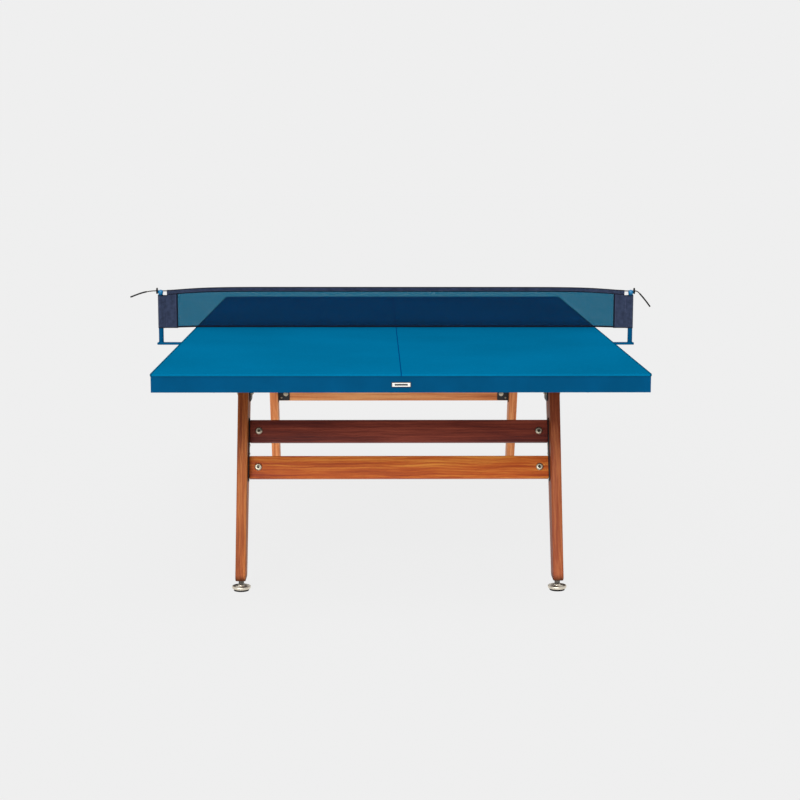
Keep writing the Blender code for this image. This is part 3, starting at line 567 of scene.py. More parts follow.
@dataclass(frozen=True)
class OiledHardwood(Finish):
    """Planed tropical hardwood with an oil finish, one material for each board.

    It gives the eye long red-brown and orange streaks along the board, closer growth
    rings across them, short dark pores and a dry satin sheen.
    """
    grain_frame: tuple[float, ...] = ()
    shift: tuple[float, float, float] = (0.0, 0.0, 0.0)
    pale: str = "c97a3f"
    streaks: float = 1.0

    def dress(self, tree: bpy.types.NodeTree, shader: bpy.types.Node, where: bpy.types.NodeSocket) -> None:
        """Streaks, rings and pores in the board's own frame, whose X is along the grain."""
        place = Matrix([self.grain_frame[i:i + 4] for i in (0, 4, 8, 12)])
        turn, offset = place.to_euler(), place.to_translation() + Vector(self.shift)
        board = add_node(tree, "Mapping", {0: where, 1: offset, 2: turn}).outputs[0]
        wander = add_node(tree, "TexNoise", {"Vector": board, "Scale": per_mm(240), "Detail": 3.0})
        centred = add_node(tree, "VectorMath", {0: wander.outputs[1], 1: (0.5, 0.5, 0.5)}, operation="SUBTRACT")
        bend = add_node(tree, "VectorMath", {0: centred.outputs[0], 1: (0.0, 0.014, 0.014)}, operation="MULTIPLY")
        bent = add_node(tree, "VectorMath", {0: board, 1: bend.outputs[0]}, operation="ADD").outputs[0]
        # Streaks of heartwood colour, about 13 mm wide and 330 mm long.
        long_way = add_node(tree, "Mapping", {0: bent, 3: (1 / 0.33, 1 / 0.013, 1 / 0.013)}, vector_type="POINT")
        streak = add_node(tree, "TexNoise", {"Vector": long_way.outputs[0], "Scale": 1.0, "Detail": 4.0,
                                             "Roughness": 0.62})
        broad_way = add_node(tree, "Mapping", {0: bent, 3: (1 / 0.9, 1 / 0.05, 1 / 0.05)})
        broad = add_node(tree, "TexNoise", {"Vector": broad_way.outputs[0], "Scale": 1.0, "Detail": 2.0})
        # Growth rings about a pith beside the board; they are 4 mm apart and drawn at 7 mm.
        pith = add_node(tree, "Mapping", {0: bent, 1: (0.0, 0.061, 0.043), 3: (1.0, 1.0, 1.35)})
        rings = add_node(tree, "TexWave", {"Vector": pith.outputs[0], "Scale": 0.314 / 0.007, "Distortion": 3.2,
                                           "Detail": 2.0, "Detail Scale": 0.35},
                         wave_type="RINGS", rings_direction="X")
        # Pores are 0.2 mm wide and 4 mm long; they are drawn at 1 by 18 mm.
        pore_way = add_node(tree, "Mapping", {0: bent, 3: (1 / 0.018, 1 / 0.001, 1 / 0.001)})
        pores = add_node(tree, "TexNoise", {"Vector": pore_way.outputs[0], "Scale": 1.0, "Detail": 2.0})
        first = add_node(tree, "Math", {0: streak.outputs[0], 1: 0.60 * self.streaks}, operation="MULTIPLY")
        second = add_node(tree, "Math", {0: broad.outputs[0], 1: 0.44, 2: first.outputs[0]}, operation="MULTIPLY_ADD")
        third = add_node(tree, "Math", {0: rings.outputs[1], 1: 0.05, 2: second.outputs[0]},
                         operation="MULTIPLY_ADD")
        depth = add_node(tree, "MapRange", {0: third.outputs[0], 1: 0.41, 2: 0.67})
        ramp = add_node(tree, "ValToRGB", {0: depth.outputs[0]},
                        stops=((0.0, self.shade), (1.0, self.pale), (0.5, self.colour)))
        dark_pore = add_node(tree, "MapRange", {0: pores.outputs[0], 1: 0.58, 2: 0.72, 3: 1.0, 4: 0.72})
        pored = add_node(tree, "VectorMath", {0: ramp.outputs[0], "Scale": dark_pore.outputs[0]}, operation="SCALE")
        # The wood is darker over the last two centimetres above the feet.
        height = add_node(tree, "SeparateXYZ", {0: where}).outputs[2]
        soaked = add_node(tree, "MapRange", {0: height, 1: 0.041, 2: 0.060, 3: 0.24, 4: 1.0})
        oiled = add_node(tree, "VectorMath", {0: pored.outputs[0], "Scale": soaked.outputs[0]}, operation="SCALE")
        colour = self.worn(tree, oiled.outputs[0], where, self.pale, 45.0, 0.22)
        relief = add_node(tree, "Math", {0: pores.outputs[0], 1: -0.6, 2: rings.outputs[1]},
                          operation="MULTIPLY_ADD")
        self.coat(tree, shader, colour, streak.outputs[0], relief.outputs[0], 0.00018, 0.10)


@dataclass(frozen=True)
class PlatedSteel(Finish):
    """Steel with a bright plated coat, nickel-chrome on the feet and zinc on the bolts.

    It gives the eye a metal mirror that is a little soft, with fine turning marks round
    it, dull handled patches and painted shade down in its sockets.
    """
    marks: float = 0.9

    def dress(self, tree: bpy.types.NodeTree, shader: bpy.types.Node, where: bpy.types.NodeSocket) -> None:
        """Tinted metal, dull patches, fine turning marks and painted shade in the sockets."""
        patch = add_node(tree, "TexNoise", {"Vector": where, "Scale": per_mm(9), "Detail": 5.0})
        # Turning marks are 0.1 mm apart; they are drawn at 0.9 mm so that they show.
        flat = add_node(tree, "Mapping", {0: where, 3: (0.12, 0.12, 1.0)})
        lines = add_node(tree, "TexNoise", {"Vector": flat.outputs[0], "Scale": per_mm(self.marks), "Detail": 1.0})
        tone = add_node(tree, "MapRange", {0: patch.outputs[0], 1: 0.35, 2: 0.65})
        body = add_node(tree, "Mix", {0: tone.outputs[0], 6: linear(self.shade), 7: linear(self.colour)},
                        data_type="RGBA")
        worn = self.worn(tree, body.outputs[2], where, "f2efe8", 3.0, 0.5)
        # The socket walls are painted near-black: painted shade down in the recess.
        depth = add_node(tree, "Attribute", attribute_name=ARRIS).outputs["Fac"]
        grime = add_node(tree, "MapRange", {0: depth, 1: 0.0, 2: -1.0, 3: 0.0, 4: 0.93})
        colour = add_node(tree, "Mix", {0: grime.outputs[0], 6: worn, 7: linear("1d1a17")}, data_type="RGBA")
        self.coat(tree, shader, colour.outputs[2], patch.outputs[0], lines.outputs[0], 0.00002, 0.06)


@dataclass(frozen=True)
class Rubber(Finish):
    """Black moulded rubber with a matt mould face.

    It gives the eye a dull near-black with a dusty bloom and a fine pitted skin.
    """

    def dress(self, tree: bpy.types.NodeTree, shader: bpy.types.Node, where: bpy.types.NodeSocket) -> None:
        """Dusty bloom over black, with pitting."""
        dust = add_node(tree, "TexNoise", {"Vector": where, "Scale": per_mm(12), "Detail": 6.0})
        # The mould face is pitted at 0.2 mm; it is drawn at 0.8 mm so that it shows.
        pits = add_node(tree, "TexNoise", {"Vector": where, "Scale": per_mm(0.8), "Detail": 2.0})
        bloom = add_node(tree, "MapRange", {0: dust.outputs[0], 1: 0.45, 2: 0.75})
        body = add_node(tree, "Mix", {0: bloom.outputs[0], 6: linear(self.shade), 7: linear(self.colour)},
                        data_type="RGBA")
        colour = self.worn(tree, body.outputs[2], where, "4a4946", 4.0, 0.5)
        self.coat(tree, shader, colour, dust.outputs[0], pits.outputs[0], 0.00006, 0.1)


@dataclass(frozen=True)
class MouldedPlastic(Finish):
    """Injection-moulded ABS with a semi-gloss mould face.

    It gives the eye a clean saturated blue with a soft highlight and a faint texture.
    """

    def dress(self, tree: bpy.types.NodeTree, shader: bpy.types.Node, where: bpy.types.NodeSocket) -> None:
        """Slight flow clouding and a faint texture."""
        flow = add_node(tree, "TexNoise", {"Vector": where, "Scale": per_mm(8), "Detail": 3.0, "Distortion": 0.8})
        skin = add_node(tree, "TexNoise", {"Vector": where, "Scale": per_mm(0.7), "Detail": 2.0})
        body = add_node(tree, "Mix", {0: flow.outputs[0], 6: linear(self.shade), 7: linear(self.colour)},
                        data_type="RGBA")
        colour = self.worn(tree, body.outputs[2], where, "7fc3dc", 2.0, 0.4)
        self.coat(tree, shader, colour, flow.outputs[0], skin.outputs[0], 0.00003, 0.06)


@dataclass(frozen=True)
class WovenTape(Finish):
    """Plain-woven polyester, dyed slate blue, bound with black along its seams.

    It gives the eye a ribbed matt cloth with pale yarn crowns, dark gaps, and a
    near-black line at every hem.
    """
    bound: str = "0d0e1b"
    rib: float = 1.6

    def dress(self, tree: bpy.types.NodeTree, shader: bpy.types.Node, where: bpy.types.NodeSocket) -> None:
        """Crossed ribs in the cloth's own coordinates, mottled, with dark bindings."""
        flat = add_node(tree, "Attribute", attribute_name=CLOTH).outputs["Vector"]
        # The yarns are 0.5 mm apart; the ribs are drawn at 1.6 mm so that they show.
        weft = add_node(tree, "TexWave", {"Vector": flat, "Scale": 0.314 / (self.rib / 1000), "Distortion": 0.6,
                                          "Detail": 1.0, "Detail Scale": 2.0}, bands_direction="X")
        warp = add_node(tree, "TexWave", {"Vector": flat, "Scale": 0.314 / (self.rib / 1000), "Distortion": 0.6,
                                          "Detail": 1.0, "Detail Scale": 2.0}, bands_direction="Y")
        weave = add_node(tree, "Math", {0: weft.outputs[1], 1: warp.outputs[1]}, operation="MULTIPLY")
        mottle = add_node(tree, "TexNoise", {"Vector": flat, "Scale": per_mm(15), "Detail": 5.0})
        lift = add_node(tree, "Math", {0: weave.outputs[0], 1: 0.55, 2: mottle.outputs[0]}, operation="MULTIPLY_ADD")
        tone = add_node(tree, "MapRange", {0: lift.outputs[0], 1: 0.35, 2: 1.05})
        body = add_node(tree, "Mix", {0: tone.outputs[0], 6: linear(self.shade), 7: linear(self.colour)},
                        data_type="RGBA")
        seam = add_node(tree, "Attribute", attribute_name=BINDING).outputs["Fac"]
        colour = add_node(tree, "Mix", {0: seam, 6: body.outputs[2], 7: linear(self.bound)}, data_type="RGBA")
        shader.inputs["Sheen Weight"].default_value = 0.12
        shader.inputs["Sheen Roughness"].default_value = 0.5
        self.coat(tree, shader, colour.outputs[2], mottle.outputs[0], weave.outputs[0], 0.00025, 0.05)


@dataclass(frozen=True)
class NetYarn(Finish):
    """Flat slit-film polyethylene yarn, dyed blue-green and slightly see-through.

    It gives the eye a dark tinted screen: white behind it turns petrol blue, and the
    blue table behind it turns nearly black.
    """
    tint: str = "8cd5ea"
    see_through: float = 0.72

    def dress(self, tree: bpy.types.NodeTree, shader: bpy.types.Node, where: bpy.types.NodeSocket) -> None:
        """Uneven dye along the yarns, and a tinted share of light let through."""
        dye = add_node(tree, "TexNoise", {"Vector": where, "Scale": per_mm(35), "Detail": 4.0})
        slits = add_node(tree, "TexNoise", {"Vector": where, "Scale": per_mm(1.2), "Detail": 2.0})
        body = add_node(tree, "Mix", {0: dye.outputs[0], 6: linear(self.shade), 7: linear(self.colour)},
                        data_type="RGBA")
        self.coat(tree, shader, body.outputs[2], dye.outputs[0], slits.outputs[0], 0.00003)
        clear = add_node(tree, "BsdfTransparent", {"Color": linear(self.tint)})
        blend = add_node(tree, "MixShader", {0: self.see_through, 1: shader.outputs[0], 2: clear.outputs[0]})
        tree.links.new(blend.outputs[0], tree.nodes["Material Output"].inputs["Surface"])


@dataclass(frozen=True)
class BraidedCord(Finish):
    """Braided polyester cord, undyed grey-brown over a rubber core.

    It gives the eye a herringbone of small crossed strands with dark gaps.
    """
    turns: float = 6.0

    def dress(self, tree: bpy.types.NodeTree, shader: bpy.types.Node, where: bpy.types.NodeSocket) -> None:
        """Crossed diagonal strands in the cord's own UV map."""
        unwrapped = add_node(tree, "UVMap", uv_map="UVMap").outputs[0]
        strands = []
        for slant in (1, -1):
            leaning = add_node(tree, "Mapping", {0: unwrapped, 2: (0.0, 0.0, 0.0), 3: (60.0, slant * self.turns, 1.0)})
            wave = add_node(tree, "TexWave", {"Vector": leaning.outputs[0], "Scale": 0.314, "Distortion": 0.4},
                            bands_direction="DIAGONAL")
            strands.append(wave.outputs[1])
        braid = add_node(tree, "Math", {0: strands[0], 1: strands[1]}, operation="MAXIMUM")
        dirt = add_node(tree, "TexNoise", {"Vector": where, "Scale": per_mm(10), "Detail": 4.0})
        tone = add_node(tree, "Math", {0: braid.outputs[0], 1: dirt.outputs[0]}, operation="MULTIPLY")
        body = add_node(tree, "Mix", {0: tone.outputs[0], 6: linear(self.shade), 7: linear(self.colour)},
                        data_type="RGBA")
        self.coat(tree, shader, body.outputs[2], dirt.outputs[0], braid.outputs[0], 0.0003)


@dataclass(frozen=True)
class EnamelPlate(Finish):
    """Anodised aluminium plate, white enamelled, with a plain dark printed rule.

    It gives the eye a small clean white label with a dark border and a soft metal sheen.
    """
    middle: tuple[float, float, float] = (0.0, 0.0, 0.0)
    rule: tuple[float, float] = (0.0200, 0.0027)
    border: tuple[float, float] = (0.0276, 0.0058)

    def dress(self, tree: bpy.types.NodeTree, shader: bpy.types.Node, where: bpy.types.NodeSocket) -> None:
        """White with a centred rule, a fine brushed grain and handled patches."""
        local = add_node(tree, "VectorMath", {0: where, 1: self.middle}, operation="SUBTRACT")
        split = add_node(tree, "SeparateXYZ", {0: local.outputs[0]})
        inside = []
        for across, up in (self.rule, self.border):
            within = []
            for axis, reach in ((0, across), (2, up)):
                off = add_node(tree, "Math", {0: split.outputs[axis]}, operation="ABSOLUTE")
                within.append(add_node(tree, "Math", {0: off.outputs[0], 1: reach}, operation="LESS_THAN").outputs[0])
            inside.append(add_node(tree, "Math", {0: within[0], 1: within[1]}, operation="MULTIPLY").outputs[0])
        # Dark in the middle rule and in a band round the plate's edge.
        outside = add_node(tree, "Math", {0: 1.0, 1: inside[1]}, operation="SUBTRACT")
        printed = add_node(tree, "Math", {0: inside[0], 1: outside.outputs[0]}, operation="ADD")
        brushed = add_node(tree, "Mapping", {0: local.outputs[0], 3: (0.05, 1.0, 1.0)})
        lines = add_node(tree, "TexNoise", {"Vector": brushed.outputs[0], "Scale": per_mm(0.5), "Detail": 2.0})
        patch = add_node(tree, "TexNoise", {"Vector": where, "Scale": per_mm(15), "Detail": 4.0})
        ground = add_node(tree, "Mix", {0: patch.outputs[0], 6: linear(self.shade), 7: linear(self.colour)},
                          data_type="RGBA")
        colour = add_node(tree, "Mix", {0: printed.outputs[0], 6: ground.outputs[2], 7: linear("17181c")},
                          data_type="RGBA")
        self.coat(tree, shader, colour.outputs[2], patch.outputs[0], lines.outputs[0], 0.00002)


BLUE_LAMINATE = Laminate("melamine_laminate_blue", "blue_laminate", "016a95", "01638b", 0.62, specular=0.0)
BLUE_STEEL = PowderCoat("powder_coat_blue", "blue_steel", "004b74", "004469", 0.55, specular=0.02,
                        bare="1f6f9a", wear=0.3)
DARK_STEEL = PowderCoat("powder_coat_black", "dark_steel", "1d1f23", "121317", 0.5, specular=0.35,
                        bare="55585c")
ZINC_BOLT = PlatedSteel("zinc_plated_steel", "bolt_steel", "cfc5b0", "a89f8c", 0.42, 1.0)
CHROME = PlatedSteel("nickel_chrome_plate", "chrome", "e6ddcc", "d4cbba", 0.40, 1.0)
STEM_STEEL = PlatedSteel("zinc_iron_plate", "chrome", "77726b", "56524d", 0.36, 1.0)
BLACK_RUBBER = Rubber("moulded_rubber_black", "rubber", "181716", "0c0b0b", 0.74, specular=0.2)
BALL_PLASTIC = MouldedPlastic("moulded_abs_blue", "blue_plastic", "0474a8", "03618c", 0.34)
SLATE_CLOTH = WovenTape("woven_polyester_slate", "net_tape", "3c4660", "22293b", 0.85, specular=0.05)
NET_YARN = NetYarn("slit_film_yarn_blue", "net_thread", "20261f", "191e19", 0.7, specular=0.02)
CORD_BRAID = BraidedCord("braided_cord_brown", "cord", "5a524a", "221e1c", 0.8, specular=0.2)
PLATE_ENAMEL = EnamelPlate("enamelled_aluminium", "label_plate", "eceae6", "dad8d2", 0.4)


# ---- table top and frame ---------------------------------------------------
@dataclass
class TableTop:
    """The two laminate half tops."""
    corner_round: float = 0.003
    arris_round: float = 0.0009
    side_arris_round: float = 0.0022

    def build(self) -> None:
        """Make both halves."""
        for end in End:
            node = f"top_panel_{end.name.lower()}"
            low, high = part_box(node)
            panel = block(low, high)
            outer = low.y if end is End.NEAR else high.y
            soften(panel, self.corner_round, 4, lambda e: self.upright(e) and abs(e.verts[0].co.y - outer) < 1e-4)
            soften(panel, self.side_arris_round, 4, lambda e: self.along(e) and e.verts[0].co.z > high.z - 1e-5)
            soften(panel, self.arris_round, 3, lambda e: e.verts[0].co.z > high.z - 1e-5
                   and e.verts[1].co.z > high.z - 1e-5)
            Shape().add(panel).publish(f"half_top_{end.name.lower()}", BLUE_LAMINATE, "table", [node])

    @staticmethod
    def upright(edge: bmesh.types.BMEdge) -> bool:
        """Say whether an edge runs along Z."""
        return abs(edge.verts[0].co.z - edge.verts[1].co.z) > 1e-4

    @staticmethod
    def along(edge: bmesh.types.BMEdge) -> bool:
        """Say whether an edge runs along Y."""
        return abs(edge.verts[0].co.y - edge.verts[1].co.y) > 1e-2


@dataclass
class SteelFrame:
    """The four rails, mitred and welded at the corners, and the cross tube under the net."""
    rail_round: float = 0.0018
    screw_pitch: float = 0.34
    screw_radius: float = 0.0045
    plate_round: float = 0.0015
    rivet_radius: float = 0.0016

    def build(self) -> None:
        """Make the rails, the centre beam, the panel screws and the plate."""
        self.rails()
        low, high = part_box("centre_beam")
        beam = soften(block(low, high), self.rail_round, 3)
        Shape().add(beam).publish("centre_beam_tube", DARK_STEEL, "table", ["centre_beam"])
        self.screws()
        self.plate()

    def rails(self) -> None:
        """Cut four bars to 45 degrees at their ends and round their arrises."""
        for name, across in (("end_rail_near", "x"), ("end_rail_far", "x"),
                             ("side_rail_left", "y"), ("side_rail_right", "y")):
            low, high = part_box(name)
            bar = block(low, high)
            outwards = (low + high) / 2
            outwards.z = 0.0
            outwards.normalize()
            for sign in (-1, 1):
                along = Vector((sign, 0, 0)) if across == "x" else Vector((0, sign, 0))
                corner = Vector((high.x if along.x > 0 else low.x, high.y if along.y > 0 else low.y, 0))
                if across == "x":
                    corner.y = high.y if outwards.y > 0 else low.y
                else:
                    corner.x = high.x if outwards.x > 0 else low.x
                bmesh.ops.bisect_plane(bar, geom=[*bar.verts, *bar.edges, *bar.faces], plane_co=corner,
                                       plane_no=along - outwards, clear_outer=True)
                bmesh.ops.contextual_create(bar, geom=[e for e in bar.edges if e.is_boundary])
            soften(bar, self.rail_round, 3, lambda e, a=across: abs(getattr(e.verts[0].co - e.verts[1].co, a)) > 0.2)
            Shape().add(bar).publish(f"{name}_bar", BLUE_STEEL, "table", [name])

    def screws(self) -> None:
        """Pan-head screws up through the rails into the tops."""
        shape = Shape()
        for name in ("side_rail_left", "side_rail_right", "end_rail_near", "end_rail_far"):
            low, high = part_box(name)
            middle = (low + high) / 2
            length = (high - low).x if name.startswith("end") else (high - low).y
            count = max(2, int(length / self.screw_pitch))
            for i in range(count):
                shift = (i - (count - 1) / 2) * length / count
                x = middle.x + (shift if name.startswith("end") else 0.0)
                y = middle.y + (0.0 if name.startswith("end") else shift)
                head = turned([(0, -0.0022), (self.screw_radius * 0.6, -0.0020), (self.screw_radius * 0.92, -0.0012),
                               (self.screw_radius, -0.0003), (self.screw_radius, 0.0004), (0, 0.0004)], 16)
                shape.add(head, Matrix.Translation((x, y, low.z)))
        shape.publish("panel_screws", ZINC_BOLT, "table")

    def plate(self) -> None:
        """The small label plate on the near rail, held by two rivets."""
        low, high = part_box("maker_plate")
        body = soften(block(low, high), self.plate_round, 3,
                      lambda e: abs(e.verts[0].co.y - e.verts[1].co.y) > 1e-4)
        soften(body, 0.0003, 1, lambda e: e.verts[0].co.y < low.y + 1e-5 and e.verts[1].co.y < low.y + 1e-5)
        middle = (low + high) / 2
        enamel = EnamelPlate(**{**PLATE_ENAMEL.__dict__, "middle": tuple(middle)})
        Shape().add(body).publish("label_plate", enamel, "table", ["maker_plate"])
        rivets = Shape()
        for sign in (-1, 1):
            spot = Vector((sign * (high.x - 0.0045), low.y + 0.0002, middle.z))
            head = turned([(0, 0.0006), (self.rivet_radius * 0.7, 0.0005), (self.rivet_radius, 0), (0, 0)], 12)
            rivets.add(head, Matrix.Translation(spot) @ Matrix.Rotation(math.pi / 2, 4, "X"))
        rivets.publish("label_rivets", ZINC_BOLT, "table")


# ---- trestles --------------------------------------------------------------
@dataclass
class Trestle:
    """A pair of splayed timber legs with everything that is bolted to it."""
    end: End
    table_length: float = 2.740
    leg_side_inset: float = 0.2435
    leg_thickness: float = 0.034
    leg_bottom_z: float = 0.038
    leg_top_z: float = 0.7027
    outer_inset_bottom: float = 0.290
    outer_inset_top: float = 0.523
    depth_bottom: float = 0.083
    depth_top: float = 0.146
    toe_radius: float = 0.012
    heel_radius: float = 0.024
    leg_round: float = 0.004
    plank_width: float = 0.0755
    plank_thickness: float = 0.024
    plank_upper_z: float = 0.4987
    plank_lower_z: float = 0.3844
    plank_end_gap: float = 0.004
    plank_round: float = 0.003
    bolt_inset: float = 0.034
    bolt_radius: float = 0.005
    bolt_head_radius: float = 0.0125
    bolt_head_height: float = 0.0055
    bolt_tail: float = 0.010
    bracket_thickness: float = 0.003
    ear_length: float = 0.050
    ear_margin: float = 0.004
    bracket_overrun: float = 0.008
    beam_width: float = 0.080
    socket_plate: tuple[float, float, float] = (0.004, 0.090, 0.110)
    socket_corner: float = 0.016
    fit_gap: float = 0.0003

    @property
    def place(self) -> Matrix:
        """Where the trestle's own frame stands."""
        turn = Matrix.Rotation(0.0 if self.end is End.NEAR else math.pi, 4, "Z")
        return Matrix.Translation((0, -self.end.value * self.table_length / 2, 0)) @ turn

    @property
    def label(self) -> str:
        """The end's word in piece names."""
        return self.end.name.lower()

    @property
    def leg_x(self) -> float:
        """Middle of a leg from the table's middle."""
        return 0.7625 - self.leg_side_inset

    @property
    def wall_x(self) -> float:
        """A leg's inner face from the table's middle."""
        return self.leg_x - self.leg_thickness / 2

    def inset(self, z: float, edge: float) -> float:
        """Distance from the table's end to a leg's edge at a height; edge 0 is outer, 1 inner."""
        share = (z - self.leg_bottom_z) / (self.leg_top_z - self.leg_bottom_z)
        outer = self.outer_inset_bottom + share * (self.outer_inset_top - self.outer_inset_bottom)
        return outer + edge * (self.depth_bottom + share * (self.depth_top - self.depth_bottom))

    def slope(self, edge: float) -> float:
        """A leg edge's angle from the vertical."""
        rise = self.leg_top_z - self.leg_bottom_z
        return math.atan2(self.inset(self.leg_top_z, edge) - self.inset(self.leg_bottom_z, edge), rise)

    def leaning(self, z: float) -> Matrix:
        """The frame in the legs' leaning mid plane at a height."""
        return self.place @ Matrix.Translation((0, self.inset(z, 0.5), z)) @ Matrix.Rotation(-self.slope(0.5), 4, "X")

    def local(self, side: Side) -> int:
        """The sign of a world side's X in the trestle's own frame."""
        return side.value * self.end.value

    def build(self) -> None:
        """Make the beam, boards, brackets, fastenings and feet."""
        self.beam()
        near = self.end is End.NEAR
        # The far trestle's planks get lighter tones than the near ones: painted light, as they stand in the shade of
        # the top.
        self.plank(Row.UPPER, Tone.DARK_RED if near else Tone.BROWN)
        self.plank(Row.LOWER, Tone.ORANGE if near else Tone.PALE)
        for side in Side:
            self.leg(side)
            self.bracket(side)
        self.leg_screws()
        for side in Side:
            Foot(f"{self.label}_{side.name.lower()}", side.value * self.leg_x,
                 self.end, self.table_length).build()

    def beam(self) -> None:
        """The cross tube with four welded plates and their weld beads."""
        low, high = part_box(f"trestle_beam_{self.label}")
        middle = self.inset(self.leg_top_z, 0.5)
        half = self.beam_width / 2
        foot_z, top_z = self.leg_top_z + self.fit_gap, high.z
        shape = Shape()
        shape.add(soften(block((low.x, middle - half, foot_z), (high.x, middle + half, top_z)), 0.003, 3), self.place)
        thickness, depth, height = self.socket_plate
        corner, bottom = self.socket_corner, foot_z - height
        outline = [(depth / 2, foot_z + 0.001), (-depth / 2, foot_z + 0.001)]
        outline += arc((-depth / 2 + corner, bottom + corner), corner, 180, 270, 8)
        outline += arc((depth / 2 - corner, bottom + corner), corner, 270, 360, 8)
        for sign in (-1, 1):
            for face in (-1, 1):
                inner = sign * self.leg_x + face * (self.leg_thickness / 2 + self.fit_gap)
                plate = soften(prism([(inner, middle + y, z) for y, z in outline], (face * thickness, 0, 0)),
                               0.0007, 2)
                shape.add(plate, self.place)
                bead = rod(0.0024, (inner + face * thickness, middle - half + 0.004, foot_z),
                           (inner + face * thickness, middle + half - 0.004, foot_z), 10)
                shape.add(bead, self.place)
        shape.publish(f"trestle_beam_{self.label}_weldment", DARK_STEEL, "table", [f"trestle_beam_{self.label}"])

    def timber(self, name: str, frame_matrix: Matrix, tone: "Tone", seed: int) -> OiledHardwood:
        """Return a board's own timber.

        Args:
            name: the board's name.
            frame_matrix: the board's frame in the table's frame, its X along the grain.
            tone: the board's colours, dark to pale.
            seed: where in the pattern the board was cut.

        Returns:
            The finish.
        """
        shade, colour, pale = tone.value
        values = tuple(value for matrix_row in frame_matrix.inverted() for value in matrix_row)
        return OiledHardwood(f"oiled_hardwood_{name}", "timber", colour, shade, 0.5, specular=0.12,
                             grain_frame=values, shift=(seed * 0.731, seed * 0.377, seed * 0.193), pale=pale)

    def leg(self, side: Side) -> None:
        """A tapered board with rounded foot corners and a threaded insert for its stem."""
        x = self.local(side) * self.leg_x
        toe_lean, heel_lean = math.degrees(self.slope(0)), math.degrees(self.slope(1))
        bottom, top = self.leg_bottom_z, self.leg_top_z
        toe, heel = self.toe_radius, self.heel_radius
        toe_centre = (self.inset(bottom + toe, 0) + toe / math.cos(math.radians(toe_lean)), bottom + toe)
        heel_centre = (self.inset(bottom + heel, 1) - heel / math.cos(math.radians(heel_lean)), bottom + heel)
        outline = [(self.inset(top, 1), top), (self.inset(top, 0), top)]
        outline += arc(toe_centre, toe, 180 - toe_lean, 270, 8)
        outline += arc(heel_centre, heel, 270, 360 - heel_lean, 10)
        half = self.leg_thickness / 2
        board = prism([(x - half, y, z) for y, z in outline], (self.leg_thickness, 0, 0))
        soften(board, self.leg_round, 4, lambda e: abs(e.verts[0].co.x - e.verts[1].co.x) < 1e-5)
        name = f"leg_{self.label}_{side.name.lower()}"
        middle = (top + bottom) / 2
        upright = self.leaning(middle) @ Matrix.Rotation(-math.pi / 2, 4, "Y")
        seed = 3 + 2 * self.end.value + side.value
        # The near right leg gets a darker, redder tone than the near left one. The far legs get a paler tone: painted
        # light, as they stand in the shade of the top.
        near_tone = Tone.BROWN if side is Side.LEFT else Tone.RED_BROWN
        tone = near_tone if self.end is End.NEAR else Tone.PALE
        finish = self.timber(name, Matrix.Translation((side.value * self.leg_x, 0, 0)) @ upright, tone, seed)
        Shape().add(board, self.place).publish(f"{name}_board", finish, "table", [name])
        ring = turned([(0.0056, -0.0006), (0.0088, -0.0006), (0.0094, 0.0), (0.0094, 0.0008), (0.0056, 0.0008),
                       (0.0056, -0.0006)], 32)
        spot = Matrix.Translation((x, 0.335, bottom))
        Shape().add(ring, self.place @ spot).publish(f"{name}_insert", ZINC_BOLT, "table")

    def plank(self, row: Row, tone: Tone) -> None:
        """A board between the legs, with its bolts, washers and nuts."""
        z = self.plank_upper_z if row is Row.UPPER else self.plank_lower_z
        half = Vector((self.wall_x - self.plank_end_gap, self.plank_thickness / 2, self.plank_width / 2))
        name = f"plank_{self.label}_{row.value}"
        place = self.leaning(z)
        seed = 11 + self.end.value + (3 if row is Row.LOWER else 0)
        board = soften(block(-half, half), self.plank_round, 4)
        finish = self.timber(name, place, tone, seed)
        Shape().add(board, place).publish(f"{name}_board", finish, "table", [name])
        for side in Side:
            self.bolt(row, side, place)

    def bolt(self, row: Row, side: Side, place: Matrix) -> None:
        """A button-head bolt through plank and bracket, with its washer and nut behind."""
        x = self.local(side) * (self.wall_x - self.bolt_inset)
        front = -self.plank_thickness / 2 - self.fit_gap
        back = self.plank_thickness / 2 + self.fit_gap + self.bracket_thickness
        outward = Matrix.Rotation(math.pi / 2, 4, "X")
        head = Shape()
        head.add(socket_head(self.bolt_head_radius, self.bolt_head_height, 0.0106, 0.0034),
                 place @ Matrix.Translation((x, front, 0)) @ outward)
        shank = [(0, 0.0)]
        pitch, start, end = 0.0015, -back - self.bolt_tail, -front
        shank = [(0.0, start), (self.bolt_radius - 0.0009, start)]
        z = start + 0.0006
        while z < start + 0.016:
            shank += [(self.bolt_radius, z), (self.bolt_radius - 0.0007, z + pitch / 2)]
            z += pitch
        shank += [(self.bolt_radius, z), (self.bolt_radius, end), (0.0, end)]
        head.add(turned(shank, 20), place @ Matrix.Translation((x, 0, 0)) @ outward)
        name = f"plank_bolt_{self.label}_{row.value}_{side.name.lower()}"
        head.publish(f"{name}_button_head", ZINC_BOLT, "table", [name])
        nut = Shape()
        washer = [(0.0054, 0), (0.0102, 0), (0.0105, 0.0004), (0.0105, 0.0012), (0.0102, 0.0016), (0.0054, 0.0016),
                  (0.0054, 0)]
        inward = Matrix.Rotation(-math.pi / 2, 4, "X")
        behind = place @ Matrix.Translation((x, back, 0)) @ inward
        nut.add(turned(washer, 32), behind)
        nut.add(hexagon(0.016, 0.0016, 0.0076, 0.55), behind)
        nut.publish(f"{name}_nut", ZINC_BOLT, "table")

